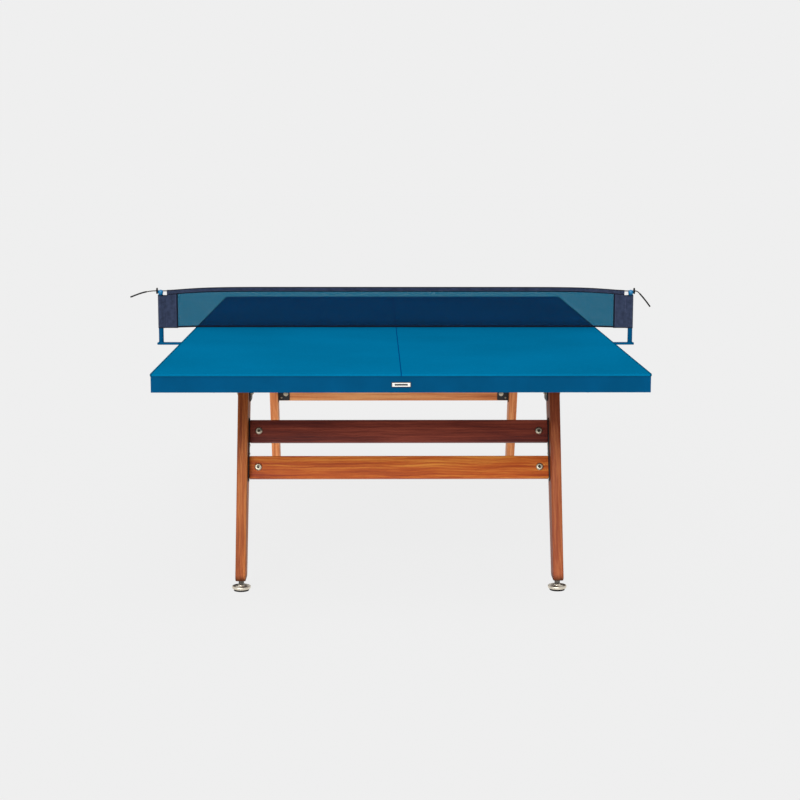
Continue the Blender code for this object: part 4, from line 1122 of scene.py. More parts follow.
    def bracket(self, side: Side) -> None:
        """A folded steel plate: a flange on the leg and an ear behind each plank, with its screws."""
        sign = self.local(side)
        place = self.leaning(self.plank_lower_z)
        rows = (0.0, (self.plank_upper_z - self.plank_lower_z) / math.cos(self.slope(0.5)))
        thick, half_plank = self.bracket_thickness, self.plank_width / 2
        wall = self.wall_x - self.fit_gap
        back = self.plank_thickness / 2 + self.fit_gap
        low, high = rows[0] - half_plank - self.bracket_overrun, rows[1] + half_plank + self.bracket_overrun
        shape = Shape()
        flange = prism([(y, z) for y, z in ()] or [(sign * (wall - thick), y, z) for y, z in self.rounded(
            -self.plank_thickness / 2, back + thick, low, high, 0.006)], (sign * thick, 0, 0))
        shape.add(soften(flange, 0.0006, 2), place)
        ear_half = half_plank - self.ear_margin
        for centre in rows:
            bend = arc((wall - thick - 0.002, back - 0.002 + thick - 0.001), 0.004, 0, 90, 6)
            outline = [(wall, back - 0.001), *[(min(px + 0.001, wall), py) for px, py in bend],
                       (wall - self.ear_length, back + thick), (wall - self.ear_length, back),
                       (wall - thick, back)]
            ear = prism([(sign * px, py, centre - ear_half) for px, py in outline], (0, 0, 2 * ear_half))
            soften(ear, 0.006, 5, lambda e, c=centre: abs(e.verts[0].co.x - sign * (wall - self.ear_length)) < 1e-5
                   and abs(e.verts[0].co.x - e.verts[1].co.x) < 1e-6
                   and abs(e.verts[0].co.z - e.verts[1].co.z) < 1e-6)
            soften(ear, 0.0005, 2)
            shape.add(ear, place)
        name = f"plank_bracket_{self.label}_{side.name.lower()}"
        shape.publish(f"{name}_folded", DARK_STEEL, "table", [name])
        screws = Shape()
        towards = Matrix.Rotation(-sign * math.pi / 2, 4, "Y")
        for z in (low + 0.010, (rows[0] + rows[1]) / 2 - 0.014, (rows[0] + rows[1]) / 2 + 0.014, high - 0.010):
            screws.add(self.screw_head(0.0042), place @ Matrix.Translation((sign * (wall - thick), 0.0, z)) @ towards)
        outward = Matrix.Rotation(-math.pi / 2, 4, "X")
        for centre in rows:
            for dz in (-0.020, 0.020):
                spot = (sign * (wall - 0.014), back + thick, centre + dz)
                screws.add(self.screw_head(0.0040), place @ Matrix.Translation(spot) @ outward)
        screws.publish(f"{name}_screws", ZINC_BOLT, "table")

    @staticmethod
    def screw_head(radius: float) -> bmesh.types.BMesh:
        """Return a pan head with a socket, standing on Z = 0."""
        return socket_head(radius, radius * 0.62, radius * 0.8, radius * 0.35, 18)

    @staticmethod
    def rounded(left: float, right: float, low: float, high: float, radius: float) -> list[tuple[float, float]]:
        """Return a rectangle's outline with round corners."""
        return [*arc((right - radius, high - radius), radius, 0, 90, 4),
                *arc((left + radius, high - radius), radius, 90, 180, 4),
                *arc((left + radius, low + radius), radius, 180, 270, 4),
                *arc((right - radius, low + radius), radius, 270, 360, 4)]

    def leg_screws(self) -> None:
        """Dome-headed coach bolts through the welded plates and the legs."""
        shape = Shape()
        reach = self.leg_thickness / 2 + self.fit_gap + self.socket_plate[0]
        for sign in (-1, 1):
            for face in (-1, 1):
                outwards = Matrix.Rotation(face * math.pi / 2, 4, "Y")
                for z, y in ((0.668, -0.020), (0.622, -0.010), (0.668, 0.024)):
                    spot = (sign * self.leg_x + face * reach, self.inset(z, 0.5) + y + 0.012, z)
                    place = self.place @ Matrix.Translation(spot) @ outwards
                    if face * sign > 0:
                        shape.add(turned([(0, 0.0042), (0.003, 0.0040), (0.006, 0.0030), (0.0084, 0.0012),
                                          (0.0088, 0.0), (0, 0.0)], 24), place)
                    else:
                        shape.add(turned([(0.004, 0), (0.0085, 0), (0.0088, 0.0006), (0.0085, 0.0014), (0.004, 0.0014),
                                          (0.004, 0)], 24), place)
                        shape.add(hexagon(0.013, 0.0014, 0.0066, 0.55), place)
                        shape.add(rod(0.0038, (0, 0, 0), (0, 0, 0.0095), 16), place)
        shape.publish(f"leg_bolts_{self.label}", ZINC_BOLT, "table")


@dataclass
class Foot:
    """A rubber pad in a dished plated base, and a threaded stem with its hexagon."""
    label: str
    x: float
    end: End
    table_length: float
    inset: float = 0.335
    pad_radius: float = 0.025
    pad_height: float = 0.005
    rim_radius: float = 0.0305
    rim_low: float = 0.0095
    rim_high: float = 0.0150
    dish_depth: float = 0.002
    hub_radius: float = 0.0105
    hub_top: float = 0.0205
    stem_radius: float = 0.005
    stem_tip: float = 0.009
    stem_top: float = 0.075
    thread_pitch: float = 0.0015
    thread_depth: float = 0.0008
    hex_flats: float = 0.017
    hex_low: float = 0.0213
    hex_high: float = 0.0330
    fit_gap: float = 0.0003

    def build(self) -> None:
        """Make the pad, the base and the stem on the foot's own axis."""
        y = -self.end.value * (self.table_length / 2 - self.inset)
        place = Matrix.Translation((self.x, y, 0))
        r, h = self.pad_radius, self.pad_height
        pad = [(0, 0.0008), (0.006, 0.0008), (0.007, 0), (0.011, 0), (0.012, 0.0008), (0.015, 0.0008), (0.016, 0),
               (r - 0.0016, 0), (r - 0.0005, 0.0004), (r, 0.0014), (r, h - 0.0006), (r - 0.0004, h), (0, h)]
        Shape().add(turned(pad, 64), place).publish(f"foot_{self.label}_pad", BLACK_RUBBER, f"foot_{self.label}",
                                                    [f"foot_pad_{self.label}"])
        floor, socket = h + self.fit_gap, self.stem_radius + self.fit_gap
        rim, hub = self.rim_radius, self.hub_radius
        base = [(0, floor), (r - 0.0006, floor), (r, floor + 0.0003), (r + 0.0022, floor + 0.0009),
                (r + 0.0041, floor + 0.0020), (rim - 0.0003, self.rim_low - 0.0003), (rim, self.rim_low + 0.0004),
                (rim, self.rim_high - 0.0006), (rim - 0.0004, self.rim_high + 0.0005),
                (rim - 0.0015, self.rim_high + 0.001), (rim - 0.0032, self.rim_high + 0.0004),
                (rim * 0.80, self.rim_high - self.dish_depth * 0.75), (rim * 0.66, self.rim_high - self.dish_depth),
                (rim * 0.50, self.rim_high - self.dish_depth * 0.7), (hub + 0.0015, self.rim_high - 0.0004),
                (hub, self.rim_high + 0.0012), (hub - 0.0005, self.hub_top - 0.0035),
                (hub - 0.0012, self.hub_top - 0.0014), (hub - 0.0028, self.hub_top),
                (socket, self.hub_top), (socket, self.stem_tip - self.fit_gap), (0, self.stem_tip - self.fit_gap)]
        Shape().add(turned(base, 72), place).publish(f"foot_{self.label}_base", CHROME, f"foot_{self.label}",
                                                     [f"foot_base_{self.label}"])
        self.stem(place)

    def stem(self, place: Matrix) -> None:
        """Thread the stem and give it its hexagon."""
        r, low, high = self.stem_radius, self.stem_tip, self.stem_top
        profile = [(0, low), (r - 0.001, low), (r, low + 0.001), (r, self.hex_low + 0.002)]
        z = self.hex_high - 0.001
        while z < high - self.thread_pitch:
            profile += [(r, z), (r - self.thread_depth, z + self.thread_pitch / 2)]
            z += self.thread_pitch
        profile += [(r, z), (r - 0.0012, high), (0, high)]
        shape = Shape().add(turned(profile, 24), place)
        shape.add(hexagon(self.hex_flats, self.hex_low, self.hex_high, 0.5), place)
        shape.publish(f"foot_{self.label}_stem", STEM_STEEL, f"stem_{self.label}", [f"foot_stem_{self.label}"])


# ---- net -------------------------------------------------------------------
@dataclass
class NetShape:
    """The lines that the net's edges follow, as functions of x."""
    table_half: float = 0.7625
    post_x: float = 0.894
    top_z: float = 0.9148
    tape_above_cord: float = 0.0036
    cord_exit_z: float = 0.8995
    level_length: float = 0.016
    droop_power: int = 6
    bottom_z: float = 0.7612
    bottom_droop: float = 0.0035
    tape_height: float = 0.018
    tape_to_post: float = 0.024
    sleeve_length: float = 0.065

    @property
    def tape_half(self) -> float:
        """Half the tape's length."""
        return self.post_x - self.tape_to_post

    @property
    def mesh_half(self) -> float:
        """Half the mesh field's length."""
        return self.post_x - self.sleeve_length

    def drop(self, x: float) -> float:
        """How far the top edge hangs below its middle height."""
        share = min(1.0, abs(x) / (self.post_x - self.level_length)) ** self.droop_power
        return (self.top_z - self.tape_above_cord - self.cord_exit_z) * share * share * (3 - 2 * share)

    def top(self, x: float) -> float:
        """Height of the tape's upper edge."""
        return self.top_z - self.drop(x)

    def cord(self, x: float) -> float:
        """Height of the cord's middle."""
        return self.top(x) - self.tape_above_cord

    def tape_bottom(self, x: float) -> float:
        """Height of the tape's lower edge."""
        return self.top(x) - self.tape_height

    def bottom(self, x: float) -> float:
        """Height of the net's lower edge."""
        past = max(0.0, abs(x) - self.table_half) / (self.post_x - self.table_half)
        return self.bottom_z - self.bottom_droop * min(1.0, past)


@dataclass
class NetCloth:
    """The woven field, its bound edges and the sleeves that hold it to the posts."""
    lines: NetShape
    yarn_pitch: float = 0.0025
    warp_width: float = 0.00242
    weft_width: float = 0.00132
    yarn_thickness: float = 0.00008
    cloth_thickness: float = 0.0009
    tape_half_width: float = 0.0032
    tape_foot: float = 0.0011
    hem_height: float = 0.006
    hem_half: float = 0.0011
    sleeve_bottom: float = 0.7580
    sleeve_top: float = 0.8835
    loop_radius: float = 0.0101
    loop_reach: float = 0.020
    layer_offset: float = 0.00085
    stitch_pitch: float = 0.004

    def build(self) -> None:
        tape, tape_stitches = self.tape()
        hem = self.hem()
        self.field()
        for side in Side:
            self.sleeve(side)
        self.tape_girth()

    def field(self) -> None:
        """Weave the field from straight upright and level flat yarns."""
        half = self.lines.mesh_half
        low = lambda x: self.lines.bottom(x) + 0.0012
        high = lambda x: self.lines.tape_bottom(x) + 0.0030
        shape = Shape()
        warp = begin()
        count = int(2 * half / self.yarn_pitch)
        gap = self.yarn_thickness * 0.2
        for i in range(count + 1):
            x = -half + (i + 0.5) * 2 * half / (count + 1)
            size = Matrix.Diagonal((self.warp_width, self.yarn_thickness, high(x) - low(x), 1.0))
            middle = Matrix.Translation((x, gap + self.yarn_thickness / 2, (low(x) + high(x)) / 2))
            bmesh.ops.create_cube(warp, size=1.0, matrix=middle @ size)
        shape.add(warp)
        rows = int((high(0) - low(0)) / self.yarn_pitch)
        weft = begin()
        for i in range(rows + 1):
            share = (i + 0.5) / (rows + 1)
            size = Matrix.Diagonal((2 * half, self.yarn_thickness, self.weft_width, 1.0))
            made = bmesh.ops.create_cube(weft, size=1.0, matrix=size)["verts"]
            edges = {e for v in made for e in v.link_edges if abs(e.verts[0].co.x - e.verts[1].co.x) > half}
            bmesh.ops.subdivide_edges(weft, edges=list(edges), cuts=31)
            fresh = [v for v in weft.verts if abs(v.co.z) < self.weft_width]
            for vert in fresh:
                x = vert.co.x
                vert.co.y -= gap + self.yarn_thickness / 2
                vert.co.z += low(x) + share * (high(x) - low(x))
        shape.add(weft)
        net = shape.publish("net_field", NET_YARN, "table", ["net_mesh"])
        height = self.lines.tape_bottom(0) - self.lines.bottom(0)

    def tape_girth(self) -> float:
        """Length of the tape's folded section."""
        section = self.tape_section()
        return line_length([Vector((y, z, 0)) for y, z in section])

    def tape_section(self) -> list[tuple[float, float]]:
        """The tape's folded section: y and the drop below its upper edge."""
        skin = self.cloth_thickness / 2
        wide, foot, height = self.tape_half_width, self.tape_foot, self.lines.tape_height
        centre = -self.lines.tape_above_cord
        over = [(wide * math.sin(math.radians(a)), centre + (self.lines.tape_above_cord - skin)
                 * math.cos(math.radians(a))) for a in range(-100, 101, 20)]
        down = [(-foot - (wide * 0.92 - foot) * math.sin(math.pi / 2 * t) ** 2, -height + t * (height + centre - 0.002))
                for t in (0.0, 0.12, 0.25, 0.4, 0.55, 0.7, 0.85)]
        return [*down, *over, *[(-y, z) for y, z in reversed(down)]]

    def tape(self) -> tuple[bpy.types.Object, bpy.types.Object]:
        """Fold the top binding over the cord and stitch it."""
        section = self.tape_section()
        half, last = self.lines.tape_half, len(section) - 1
        girth = self.tape_girth()

        def lay(u: float, v: float) -> Vector:
            """Place a point of the tape: u round the fold and v along the net."""
            y, z = section[round(u * last)]
            x = half * math.sin(math.pi / 2 * (2 * v - 1))
            pucker = 0.00022 * math.sin(x / 0.0125) * max(0.0, min(1.0, (-z - 0.006) / 0.008))
            return Vector((x, y * (1 + 0.10 * noise.noise(Vector((x * 40, u * 3, 1.7)))) + math.copysign(pucker, y),
                           self.lines.top(x) + z))

        def bound(u: float, v: float) -> float:
            """Dark along the fold's crown and along both lower edges."""
            z = section[round(u * last)][1]
            return 0.92 if z > -0.0034 or z < -self.lines.tape_height + 0.0034 else 0.0

        sheet = cloth(last, 260, (girth, 2 * half), lay, bound)
        piece = Shape().add(sheet).publish("net_tape", SLATE_CLOTH, "table", ["net_top_tape"], 60, self.cloth_thickness)
        stitches = Shape()
        run = begin()
        count = int(2 * half / self.stitch_pitch)
        for i in range(count):
            x = -half + (i + 0.5) * self.stitch_pitch
            z = self.lines.tape_bottom(x) + 0.0042
            for face in (-1, 1):
                size = Matrix.Diagonal((self.stitch_pitch * 0.62, 0.0007, 0.0007, 1.0))
                spot = Matrix.Translation((x, face * (self.tape_foot + self.cloth_thickness / 2 + 0.0011), z))
                bmesh.ops.create_cube(run, size=1.0, matrix=spot @ size)
        stitches.add(run)
        thread = stitches.publish("net_tape_stitches", STITCH_THREAD, "table")
        return piece, thread

    def hem(self) -> bpy.types.Object:
        """Fold the narrow binding under the field."""
        half, height = self.lines.mesh_half, self.hem_height

        def lay(u: float, v: float) -> Vector:
            """Place a point of the hem: u round the fold and v along the net."""
            x = half * (2 * v - 1)
            angle = math.pi * u
            y = -self.hem_half * math.cos(angle)
            drop = math.sin(angle) ** 0.5 if 0 < u < 1 else 0.0
            z = self.lines.bottom(x) + height - height * min(1.0, 2.6 * min(u, 1 - u)) * (0.9 + 0.1 * drop)
            z = max(z, self.lines.bottom(x) + self.cloth_thickness / 2)
            return Vector((x, y * (1.0 if 0.3 > min(u, 1 - u) else 0.8), z))

        sheet = cloth(10, 160, (2 * height, 2 * half), lay, lambda u, v: 1.0)
        return Shape().add(sheet).publish("net_hem", SLATE_CLOTH, "table", ["net_bottom_hem"], 60,
                                          self.cloth_thickness * 0.8)

    def loop(self, share: float, length: float) -> tuple[float, float]:
        """Where the sleeve's cloth runs, seen from above.

        Args:
            share: how far round the cloth, 0 and 1 at the mesh.
            length: the cloth's whole length round the post.

        Returns:
            The x and y there, on the right-hand side.
        """
        radius, reach, post = self.loop_radius, self.loop_reach, self.lines.post_x
        touch = math.acos(radius / reach)
        straight = math.sqrt(reach ** 2 - radius ** 2)
        flap = post - reach - self.lines.mesh_half
        along = min(share, 1 - share) * length
        sign = -1 if share < 0.5 else 1
        if along < flap:
            blend = max(0.0, (along - flap + 0.006) / 0.006)
            return self.lines.mesh_half + along, sign * self.layer_offset * (1 + 0.4 * blend)
        if along < flap + straight:
            t = (along - flap) / straight
            end_x, end_y = -radius * math.cos(touch), radius * math.sin(touch)
            x = post - reach + t * (reach + end_x)
            return x, sign * max(t * end_y, self.layer_offset * 1.4 * (1 - t) + t * end_y)
        angle = touch + (along - flap - straight) / radius
        return post - radius * math.cos(angle), sign * radius * math.sin(angle)

    def sleeve_girth(self) -> float:
        """The sleeve cloth's length round the post."""
        touch = math.acos(self.loop_radius / self.loop_reach)
        straight = math.sqrt(self.loop_reach ** 2 - self.loop_radius ** 2)
        flap = self.lines.post_x - self.loop_reach - self.lines.mesh_half
        return 2 * (flap + straight + (math.pi - touch) * self.loop_radius)

    def sleeve(self, side: Side) -> None:
        """Sew a panel of cloth round the post and stitch it to the mesh's end."""
        girth = self.sleeve_girth()
        tall = self.sleeve_top - self.sleeve_bottom

        def lay(u: float, v: float) -> Vector:
            """Place a point of the sleeve: u round the post and v upwards."""
            x, y = self.loop(u, girth)
            under_tape = x < self.lines.tape_half
            top = self.lines.tape_bottom(x) + 0.0016 if under_tape else self.sleeve_top
            z = self.sleeve_bottom + v * (top - self.sleeve_bottom)
            free = max(0.0, min(1.0, (x - self.lines.mesh_half) / 0.02)) * (1.0 if x < self.lines.post_x - 0.014 else 0.25)
            fold = 0.0011 * noise.noise(Vector((x * 55, v * 1.3, side.value * 3.1))) * free
            return Vector((side.value * x, y + fold, z))

        def bound(u: float, v: float) -> float:
            """Dark beside the mesh, along the bottom hem and along the top edge."""
            along = min(u, 1 - u) * girth
            return 0.95 if along < 0.0055 or v < 0.030 or (v > 0.975 and along > 0.04) else 0.0

        sheet = cloth(168, 66, (girth, tall), lay, bound)
        name = f"net_sleeve_{side.name.lower()}"
        piece = Shape().add(sheet).publish(f"{name}_cloth", SLATE_CLOTH, "table", [name], 60, self.cloth_thickness)
        run = begin()
        for x in (self.lines.mesh_half + 0.0075, self.lines.post_x - self.loop_reach + 0.0005):
            count = int((tall - 0.01) / self.stitch_pitch)
            for i in range(count):
                z = self.sleeve_bottom + 0.006 + i * self.stitch_pitch
                for face in (-1, 1):
                    size = Matrix.Diagonal((0.0006, 0.0007, self.stitch_pitch * 0.62, 1.0))
                    y = face * (self.layer_offset + self.cloth_thickness / 2 + 0.0004)
                    bmesh.ops.create_cube(run, size=1.0, matrix=Matrix.Translation((side.value * x, y, z)) @ size)
        thread = Shape().add(run).publish(f"{name}_stitches", STITCH_THREAD, "table")


@dataclass
class NetPost:
    """A post on its flat arm, the ball that plugs it, and the bolt under the table."""
    side: Side
    lines: NetShape
    post_radius: float = 0.009
    post_wall: float = 0.0015
    arm_thickness: float = 0.0075
    ball_radius: float = 0.010
    ball_z: float = 0.8940
    bolt_x: float = 0.610
    bolt_radius: float = 0.004

    def build(self) -> None:
        """Make the post, the ball and the bolt."""
        label, sign = self.side.name.lower(), self.side.value
        low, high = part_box(f"net_post_{label}")
        arm_top = low.z + self.arm_thickness
        arm = block(low, (high.x, high.y, arm_top))
        tip = high.x if sign > 0 else low.x
        soften(arm, 0.007, 6, lambda e: TableTop.upright(e) and abs(e.verts[0].co.x - tip) < 1e-5)
        soften(arm, 0.0012, 3)
        top = self.ball_z - self.ball_radius * 0.72
        r, bore = self.post_radius, self.post_radius - self.post_wall
        tube = turned([(bore, arm_top - 0.003), (r, arm_top - 0.003), (r, top - 0.0006), (r - 0.0005, top),
                       (bore, top), (bore, arm_top - 0.003)], 48)
        bead = turned([(r - 0.0006, arm_top - 0.0004), (r + 0.0026, arm_top - 0.0004), (r + 0.0024, arm_top + 0.0009),
                       (r + 0.0012, arm_top + 0.0021), (r - 0.0006, arm_top + 0.0030), (r - 0.0006, arm_top - 0.0004)], 48)
        where = Matrix.Translation((sign * self.lines.post_x, 0, 0))
        Shape().add(arm).add(tube, where).add(bead, where).publish(f"post_{label}", BLUE_STEEL, "table",
                                                                   [f"net_post_{label}"])
        self.ball(label, where)
        under = low.z - 0.0003
        head = Shape()
        spot = Matrix.Translation((sign * self.bolt_x, 0, under))
        head.add(turned([(self.bolt_radius, -0.0012), (0.0092, -0.0012), (0.0095, -0.0008), (0.0095, 0.0),
                         (self.bolt_radius, 0.0), (self.bolt_radius, -0.0012)], 32), spot)
        head.add(hexagon(0.013, -0.0053, -0.0012, 0.5), spot)
        head.add(rod(self.bolt_radius, (0, 0, -0.003), (0, 0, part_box(f"net_arm_bolt_{label}")[1].z - under), 20), spot)
        head.publish(f"arm_bolt_{label}", ZINC_BOLT, "table", [f"net_arm_bolt_{label}"])

    def ball(self, label: str, where: Matrix) -> None:
        """Turn the ball with its collar and set an eyelet at each cord hole."""
        radius = self.ball_radius
        spigot = self.post_radius - self.post_wall - 0.0003
        neck = -math.sqrt(radius ** 2 - spigot ** 2)
        profile = [(0, neck - 0.015), (spigot - 0.0005, neck - 0.015), (spigot, neck - 0.0145)]
        profile += arc((0, 0), radius, math.degrees(math.asin(neck / radius)), 90, 20)
        profile[-1] = (0, radius)
        rise = self.lines.cord_exit_z - self.ball_z
        reach = math.sqrt(radius ** 2 - rise ** 2)
        shape = Shape().add(turned(profile, 48), where @ Matrix.Translation((0, 0, self.ball_z)))
        for face in (-1, 1):
            eyelet = turned([(0.0022, -0.0014), (0.0032, -0.0010), (0.0034, 0.0), (0.0029, 0.0006), (0.0022, 0.0004),
                             (0.0022, -0.0014)], 24)
            spot = Matrix.Translation((face * (reach - 0.0002), 0, self.lines.cord_exit_z))
            shape.add(eyelet, where @ spot @ Matrix.Rotation(face * math.pi / 2, 4, "Y"))
        shape.publish(f"ball_{label}", BALL_PLASTIC, "table", [f"post_ball_{label}"])


@dataclass
class Cords:
    """The cord in the tape, and at each post a free tail with its stop and end sleeve."""
    lines: NetShape
    radius: float = 0.002
    ball_radius: float = 0.010
    fit_gap: float = 0.0003
    spacing: float = 0.0025
    tip_length: float = 0.065
    tip_radius: float = 0.0029
    stop_radius: float = 0.012
    stop_thickness: float = 0.005
    stop_waist: float = 0.0035
    # Each tail's points from where it leaves its ball: outwards along X, then up.
    left_route: tuple[tuple[float, float], ...] = (
        (0.0000, 0.0000), (0.0040, 0.0000), (0.0080, 0.0000), (0.0150, -0.0002), (0.0220, -0.0006),
        (0.0290, -0.0013), (0.0360, -0.0023), (0.0430, -0.0035), (0.0500, -0.0050), (0.0570, -0.0068),
        (0.0640, -0.0089), (0.0710, -0.0112), (0.0780, -0.0137), (0.0850, -0.0163), (0.0920, -0.0190),
        (0.0990, -0.0218), (0.1042, -0.0238))
    right_route: tuple[tuple[float, float], ...] = (
        (0.0000, 0.0000), (0.0040, 0.0000), (0.0080, -0.0001), (0.0120, -0.0009), (0.0160, -0.0028),
        (0.0202, -0.0061), (0.0244, -0.0104), (0.0287, -0.0152), (0.0330, -0.0201), (0.0374, -0.0251),
        (0.0420, -0.0305), (0.0467, -0.0363), (0.0514, -0.0423), (0.0560, -0.0483), (0.0605, -0.0543),
        (0.0647, -0.0601))

    def build(self) -> None:
        """Make the tails, their pieces and the held cord."""
        for side, route in ((Side.LEFT, self.left_route), (Side.RIGHT, self.right_route)):
            self.tail(side, route)
        self.held()

    def tail(self, side: Side, route: Sequence[tuple[float, float]]) -> None:
        """Run one tail from its ball, with the stop on it and the sleeve on its end."""
        label, sign = side.name.lower(), side.value
        start = self.lines.post_x + self.ball_radius + self.fit_gap
        points = smooth_line([Vector((sign * (start + out), 0, self.lines.cord_exit_z + up)) for out, up in route],
                             self.spacing)
        cord = self.tube(f"cord_{label}_tail", points, self.radius, CORD_BRAID, [f"cord_tail_{label}"])
        count = round(self.tip_length / self.spacing)
        sleeve = points[-count - 1:]
        step = (sleeve[-1] - sleeve[-2]).normalized() * 0.0009
        tip = self.tube(f"cord_{label}_end_sleeve", [*sleeve[:-1], sleeve[-1] - step * 0.2], self.tip_radius,
                        BLACK_RUBBER, [f"cord_tip_{label}"])
        stop = self.stop(side)
        tuple(points[0])
        line_length(points)
        [tuple(p) for p in points]

    def tube(self, name: str, points: Sequence[Vector], radius: float, finish: Finish,
             replaces: Sequence[str]) -> bpy.types.Object:
        """Make a round piece along points."""
        mesh = tube_mesh(points, radius)
        mesh.name = name
        mesh.materials.clear()
        mesh.materials.append(finish.material())
        mesh.shade_smooth()
        mesh.set_sharp_from_angle(angle=math.radians(50))
        piece = bpy.data.objects.new(name, mesh)
        bpy.context.scene.collection.objects.link(piece)
        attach(piece, "table")
        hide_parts(*replaces)
        LOG.info("%s: %d faces, %s", name, len(mesh.polygons), finish.name)
        return piece

    def stop(self, side: Side) -> bpy.types.Object:
        """The waisted rubber disc that slides on the cord."""
        waist, rim, thick = (self.stop_thickness - self.stop_waist) / 2, self.stop_radius, self.stop_thickness
        bore = 0.0023
        profile = [(bore, waist), (rim * 0.42, waist), (rim * 0.56, waist * 0.6), (rim * 0.72, 0), (rim * 0.90, 0.0001),
                   (rim * 0.97, thick * 0.14), (rim, thick * 0.34), (rim, thick * 0.66), (rim * 0.97, thick * 0.86),
                   (rim * 0.90, thick - 0.0001), (rim * 0.72, thick), (rim * 0.56, thick - waist * 0.6),
                   (rim * 0.42, thick - waist), (bore, thick - waist), (bore, waist)]
        face = self.lines.post_x + self.ball_radius + 2 * self.fit_gap
        turn = Matrix.Rotation(side.value * math.pi / 2, 4, "Y")
        place = Matrix.Translation((side.value * face, 0, self.lines.cord_exit_z)) @ turn
        label = side.name.lower()
        return Shape().add(turned(profile, 48), place).publish(f"cord_{label}_stop", BLACK_RUBBER,
                                                               f"cord_stop_{label}", [f"cord_stop_{label}"])

    def held(self) -> None:
        """The cord from ball to ball inside the tape."""
        end_x = self.lines.post_x + self.ball_radius
        half = self.lines.tape_half
        steps = [half * math.sin(math.pi / 2 * i / 48) for i in range(-48, 49)]
        xs = [-end_x, -self.lines.post_x, -self.lines.post_x + 0.012, *steps, self.lines.post_x - 0.012,
              self.lines.post_x, end_x]
        points = [Vector((x, 0, self.lines.cord(x))) for x in xs]
        self.tube("cord_in_tape", points, self.radius, CORD_BRAID, ["net_cord"])


@dataclass(frozen=True)
class StitchThread(Finish):
    """Polyester lockstitch thread, a shade lighter than the cloth.

    It gives the eye a fine broken line of slightly glossy dashes.
    """

    def dress(self, tree: bpy.types.NodeTree, shader: bpy.types.Node, where: bpy.types.NodeSocket) -> None:
        """Mottled thread with a twisted-ply bump."""
        mottle = add_node(tree, "TexNoise", {"Vector": where, "Scale": per_mm(6), "Detail": 3.0})
        ply = add_node(tree, "TexNoise", {"Vector": where, "Scale": per_mm(0.6), "Detail": 1.0})
        body = add_node(tree, "Mix", {0: mottle.outputs[0], 6: linear(self.shade), 7: linear(self.colour)},
                        data_type="RGBA")
        self.coat(tree, shader, body.outputs[2], mottle.outputs[0], ply.outputs[0], 0.0001)


STITCH_THREAD = StitchThread("lockstitch_thread_slate", "net_tape", "5d6485", "3c4160", 0.6, specular=0.3)


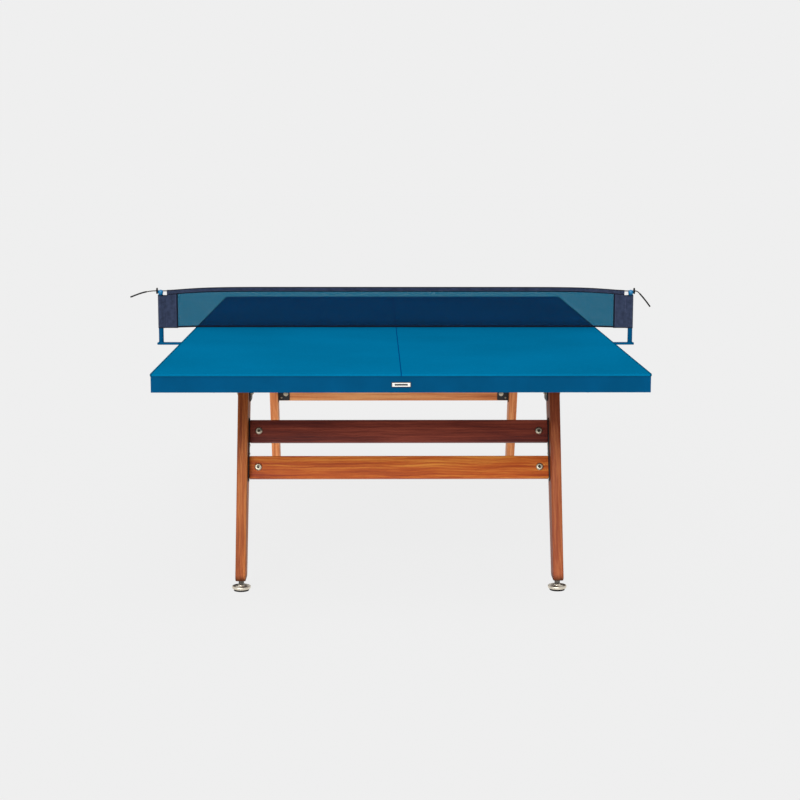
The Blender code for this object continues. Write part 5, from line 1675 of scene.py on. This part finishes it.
# ---- studio ----------------------------------------------------------------
@dataclass
class Studio:
    """A pale floor, a plain backdrop, soft light and the camera."""
    camera_at: tuple[float, float, float] = (-0.078, -6.611, 1.446)
    pitch: float = 81.69
    yaw: float = -0.81
    roll: float = 0.08
    lens: float = 78.36
    backdrop: str = "efefef"
    ambient: float = 0.42
    reflected: float = 0.8
    floor_size: float = 90.0

    def build_camera(self) -> None:
        """Set the camera."""
        data = bpy.data.cameras.new("camera")
        data.lens, data.sensor_width = self.lens, 36.0
        data.clip_start, data.clip_end = 0.05, 300.0
        camera = bpy.data.objects.new("camera", data)
        camera.location = self.camera_at
        turn = Matrix.Rotation(math.radians(self.yaw), 3, "Z") @ Matrix.Rotation(math.radians(self.pitch), 3, "X")
        camera.rotation_euler = (turn @ Matrix.Rotation(math.radians(self.roll), 3, "Z")).to_euler()
        bpy.context.scene.collection.objects.link(camera)
        bpy.context.scene.camera = camera

    def build(self) -> None:
        """Make the world, the lights and the floor."""
        bpy.context.scene.view_settings.view_transform = "Standard"
        self.world()
        self.lamp("key", 1.55, 22.0, 29.0, -20.0)
        self.lamp("overhead", 1.58, 50.0, 74.0, 20.0)
        self.lamp("fill", 1.0, 40.0, 3.0, -10.0)
        self.floor()

    def world(self) -> None:
        """A backdrop: pale for the camera, brighter for reflections than for soft light."""
        world = bpy.data.worlds.new("studio")
        world.use_nodes = True
        bpy.context.scene.world = world
        tree = world.node_tree
        path = add_node(tree, "LightPath")
        seen = tree.nodes["Background"]
        seen.inputs["Color"].default_value = linear(self.backdrop)
        level = add_node(tree, "MapRange", {0: path.outputs["Is Glossy Ray"], 3: self.ambient, 4: self.reflected})
        lit = add_node(tree, "Background", {"Color": (1.0, 1.0, 1.0, 1.0), "Strength": level.outputs[0]})
        mix = add_node(tree, "MixShader", {0: path.outputs["Is Camera Ray"], 1: lit.outputs[0], 2: seen.outputs[0]})
        tree.links.new(mix.outputs[0], tree.nodes["World Output"].inputs["Surface"])

    @staticmethod
    def lamp(name: str, strength: float, softness: float, elevation: float, azimuth: float) -> None:
        """Add a broad distant lamp.

        Args:
            name: the lamp's name.
            strength: its irradiance.
            softness: how many degrees across it looks.
            elevation: its height above the horizon in degrees.
            azimuth: where it stands, from the near end towards the right, in degrees.
        """
        data = bpy.data.lights.new(name, "SUN")
        data.energy, data.angle = strength, math.radians(softness)
        lamp = bpy.data.objects.new(name, data)
        a, e = math.radians(azimuth), math.radians(elevation)
        towards = Vector((math.sin(a) * math.cos(e), -math.cos(a) * math.cos(e), math.sin(e)))
        lamp.rotation_euler = towards.to_track_quat("Z", "Y").to_euler()
        bpy.context.scene.collection.objects.link(lamp)

    def floor(self) -> None:
        """A plain pale floor that runs out to the backdrop."""
        material = bpy.data.materials.new("studio_floor")
        material.use_nodes = True
        tree = material.node_tree
        shader = tree.nodes["Principled BSDF"]
        shader.inputs["Base Color"].default_value = linear("dcdcdc")
        shader.inputs["Roughness"].default_value = 1.0
        shader.inputs["Specular IOR Level"].default_value = 0.0
        glow = add_node(tree, "Emission", {"Color": linear(self.backdrop), "Strength": 1.0})
        mix = add_node(tree, "MixShader", {0: 0.965, 1: shader.outputs[0], 2: glow.outputs[0]})
        tree.links.new(mix.outputs[0], tree.nodes["Material Output"].inputs["Surface"])
        bm = bmesh.new()
        bmesh.ops.create_grid(bm, x_segments=1, y_segments=1, size=self.floor_size / 2)
        mesh = bpy.data.meshes.new("studio_floor")
        bm.to_mesh(mesh)
        bm.free()
        mesh.materials.append(material)
        floor = bpy.data.objects.new("studio_floor", mesh)
        bpy.context.scene.collection.objects.link(floor)


def main() -> None:
    """Build the camera and the cords first, then every sub-assembly, and report each piece."""
    logging.basicConfig(level=logging.INFO, format="%(name)s %(message)s")
    studio, lines = Studio(), NetShape()
    studio.build_camera()
    Cords(lines).build()
    TableTop().build()
    SteelFrame().build()
    for end in End:
        Trestle(end).build()
    for side in Side:
        NetPost(side, lines).build()
    NetCloth(lines).build()
    studio.build()


if __name__ == "__main__":
    main()
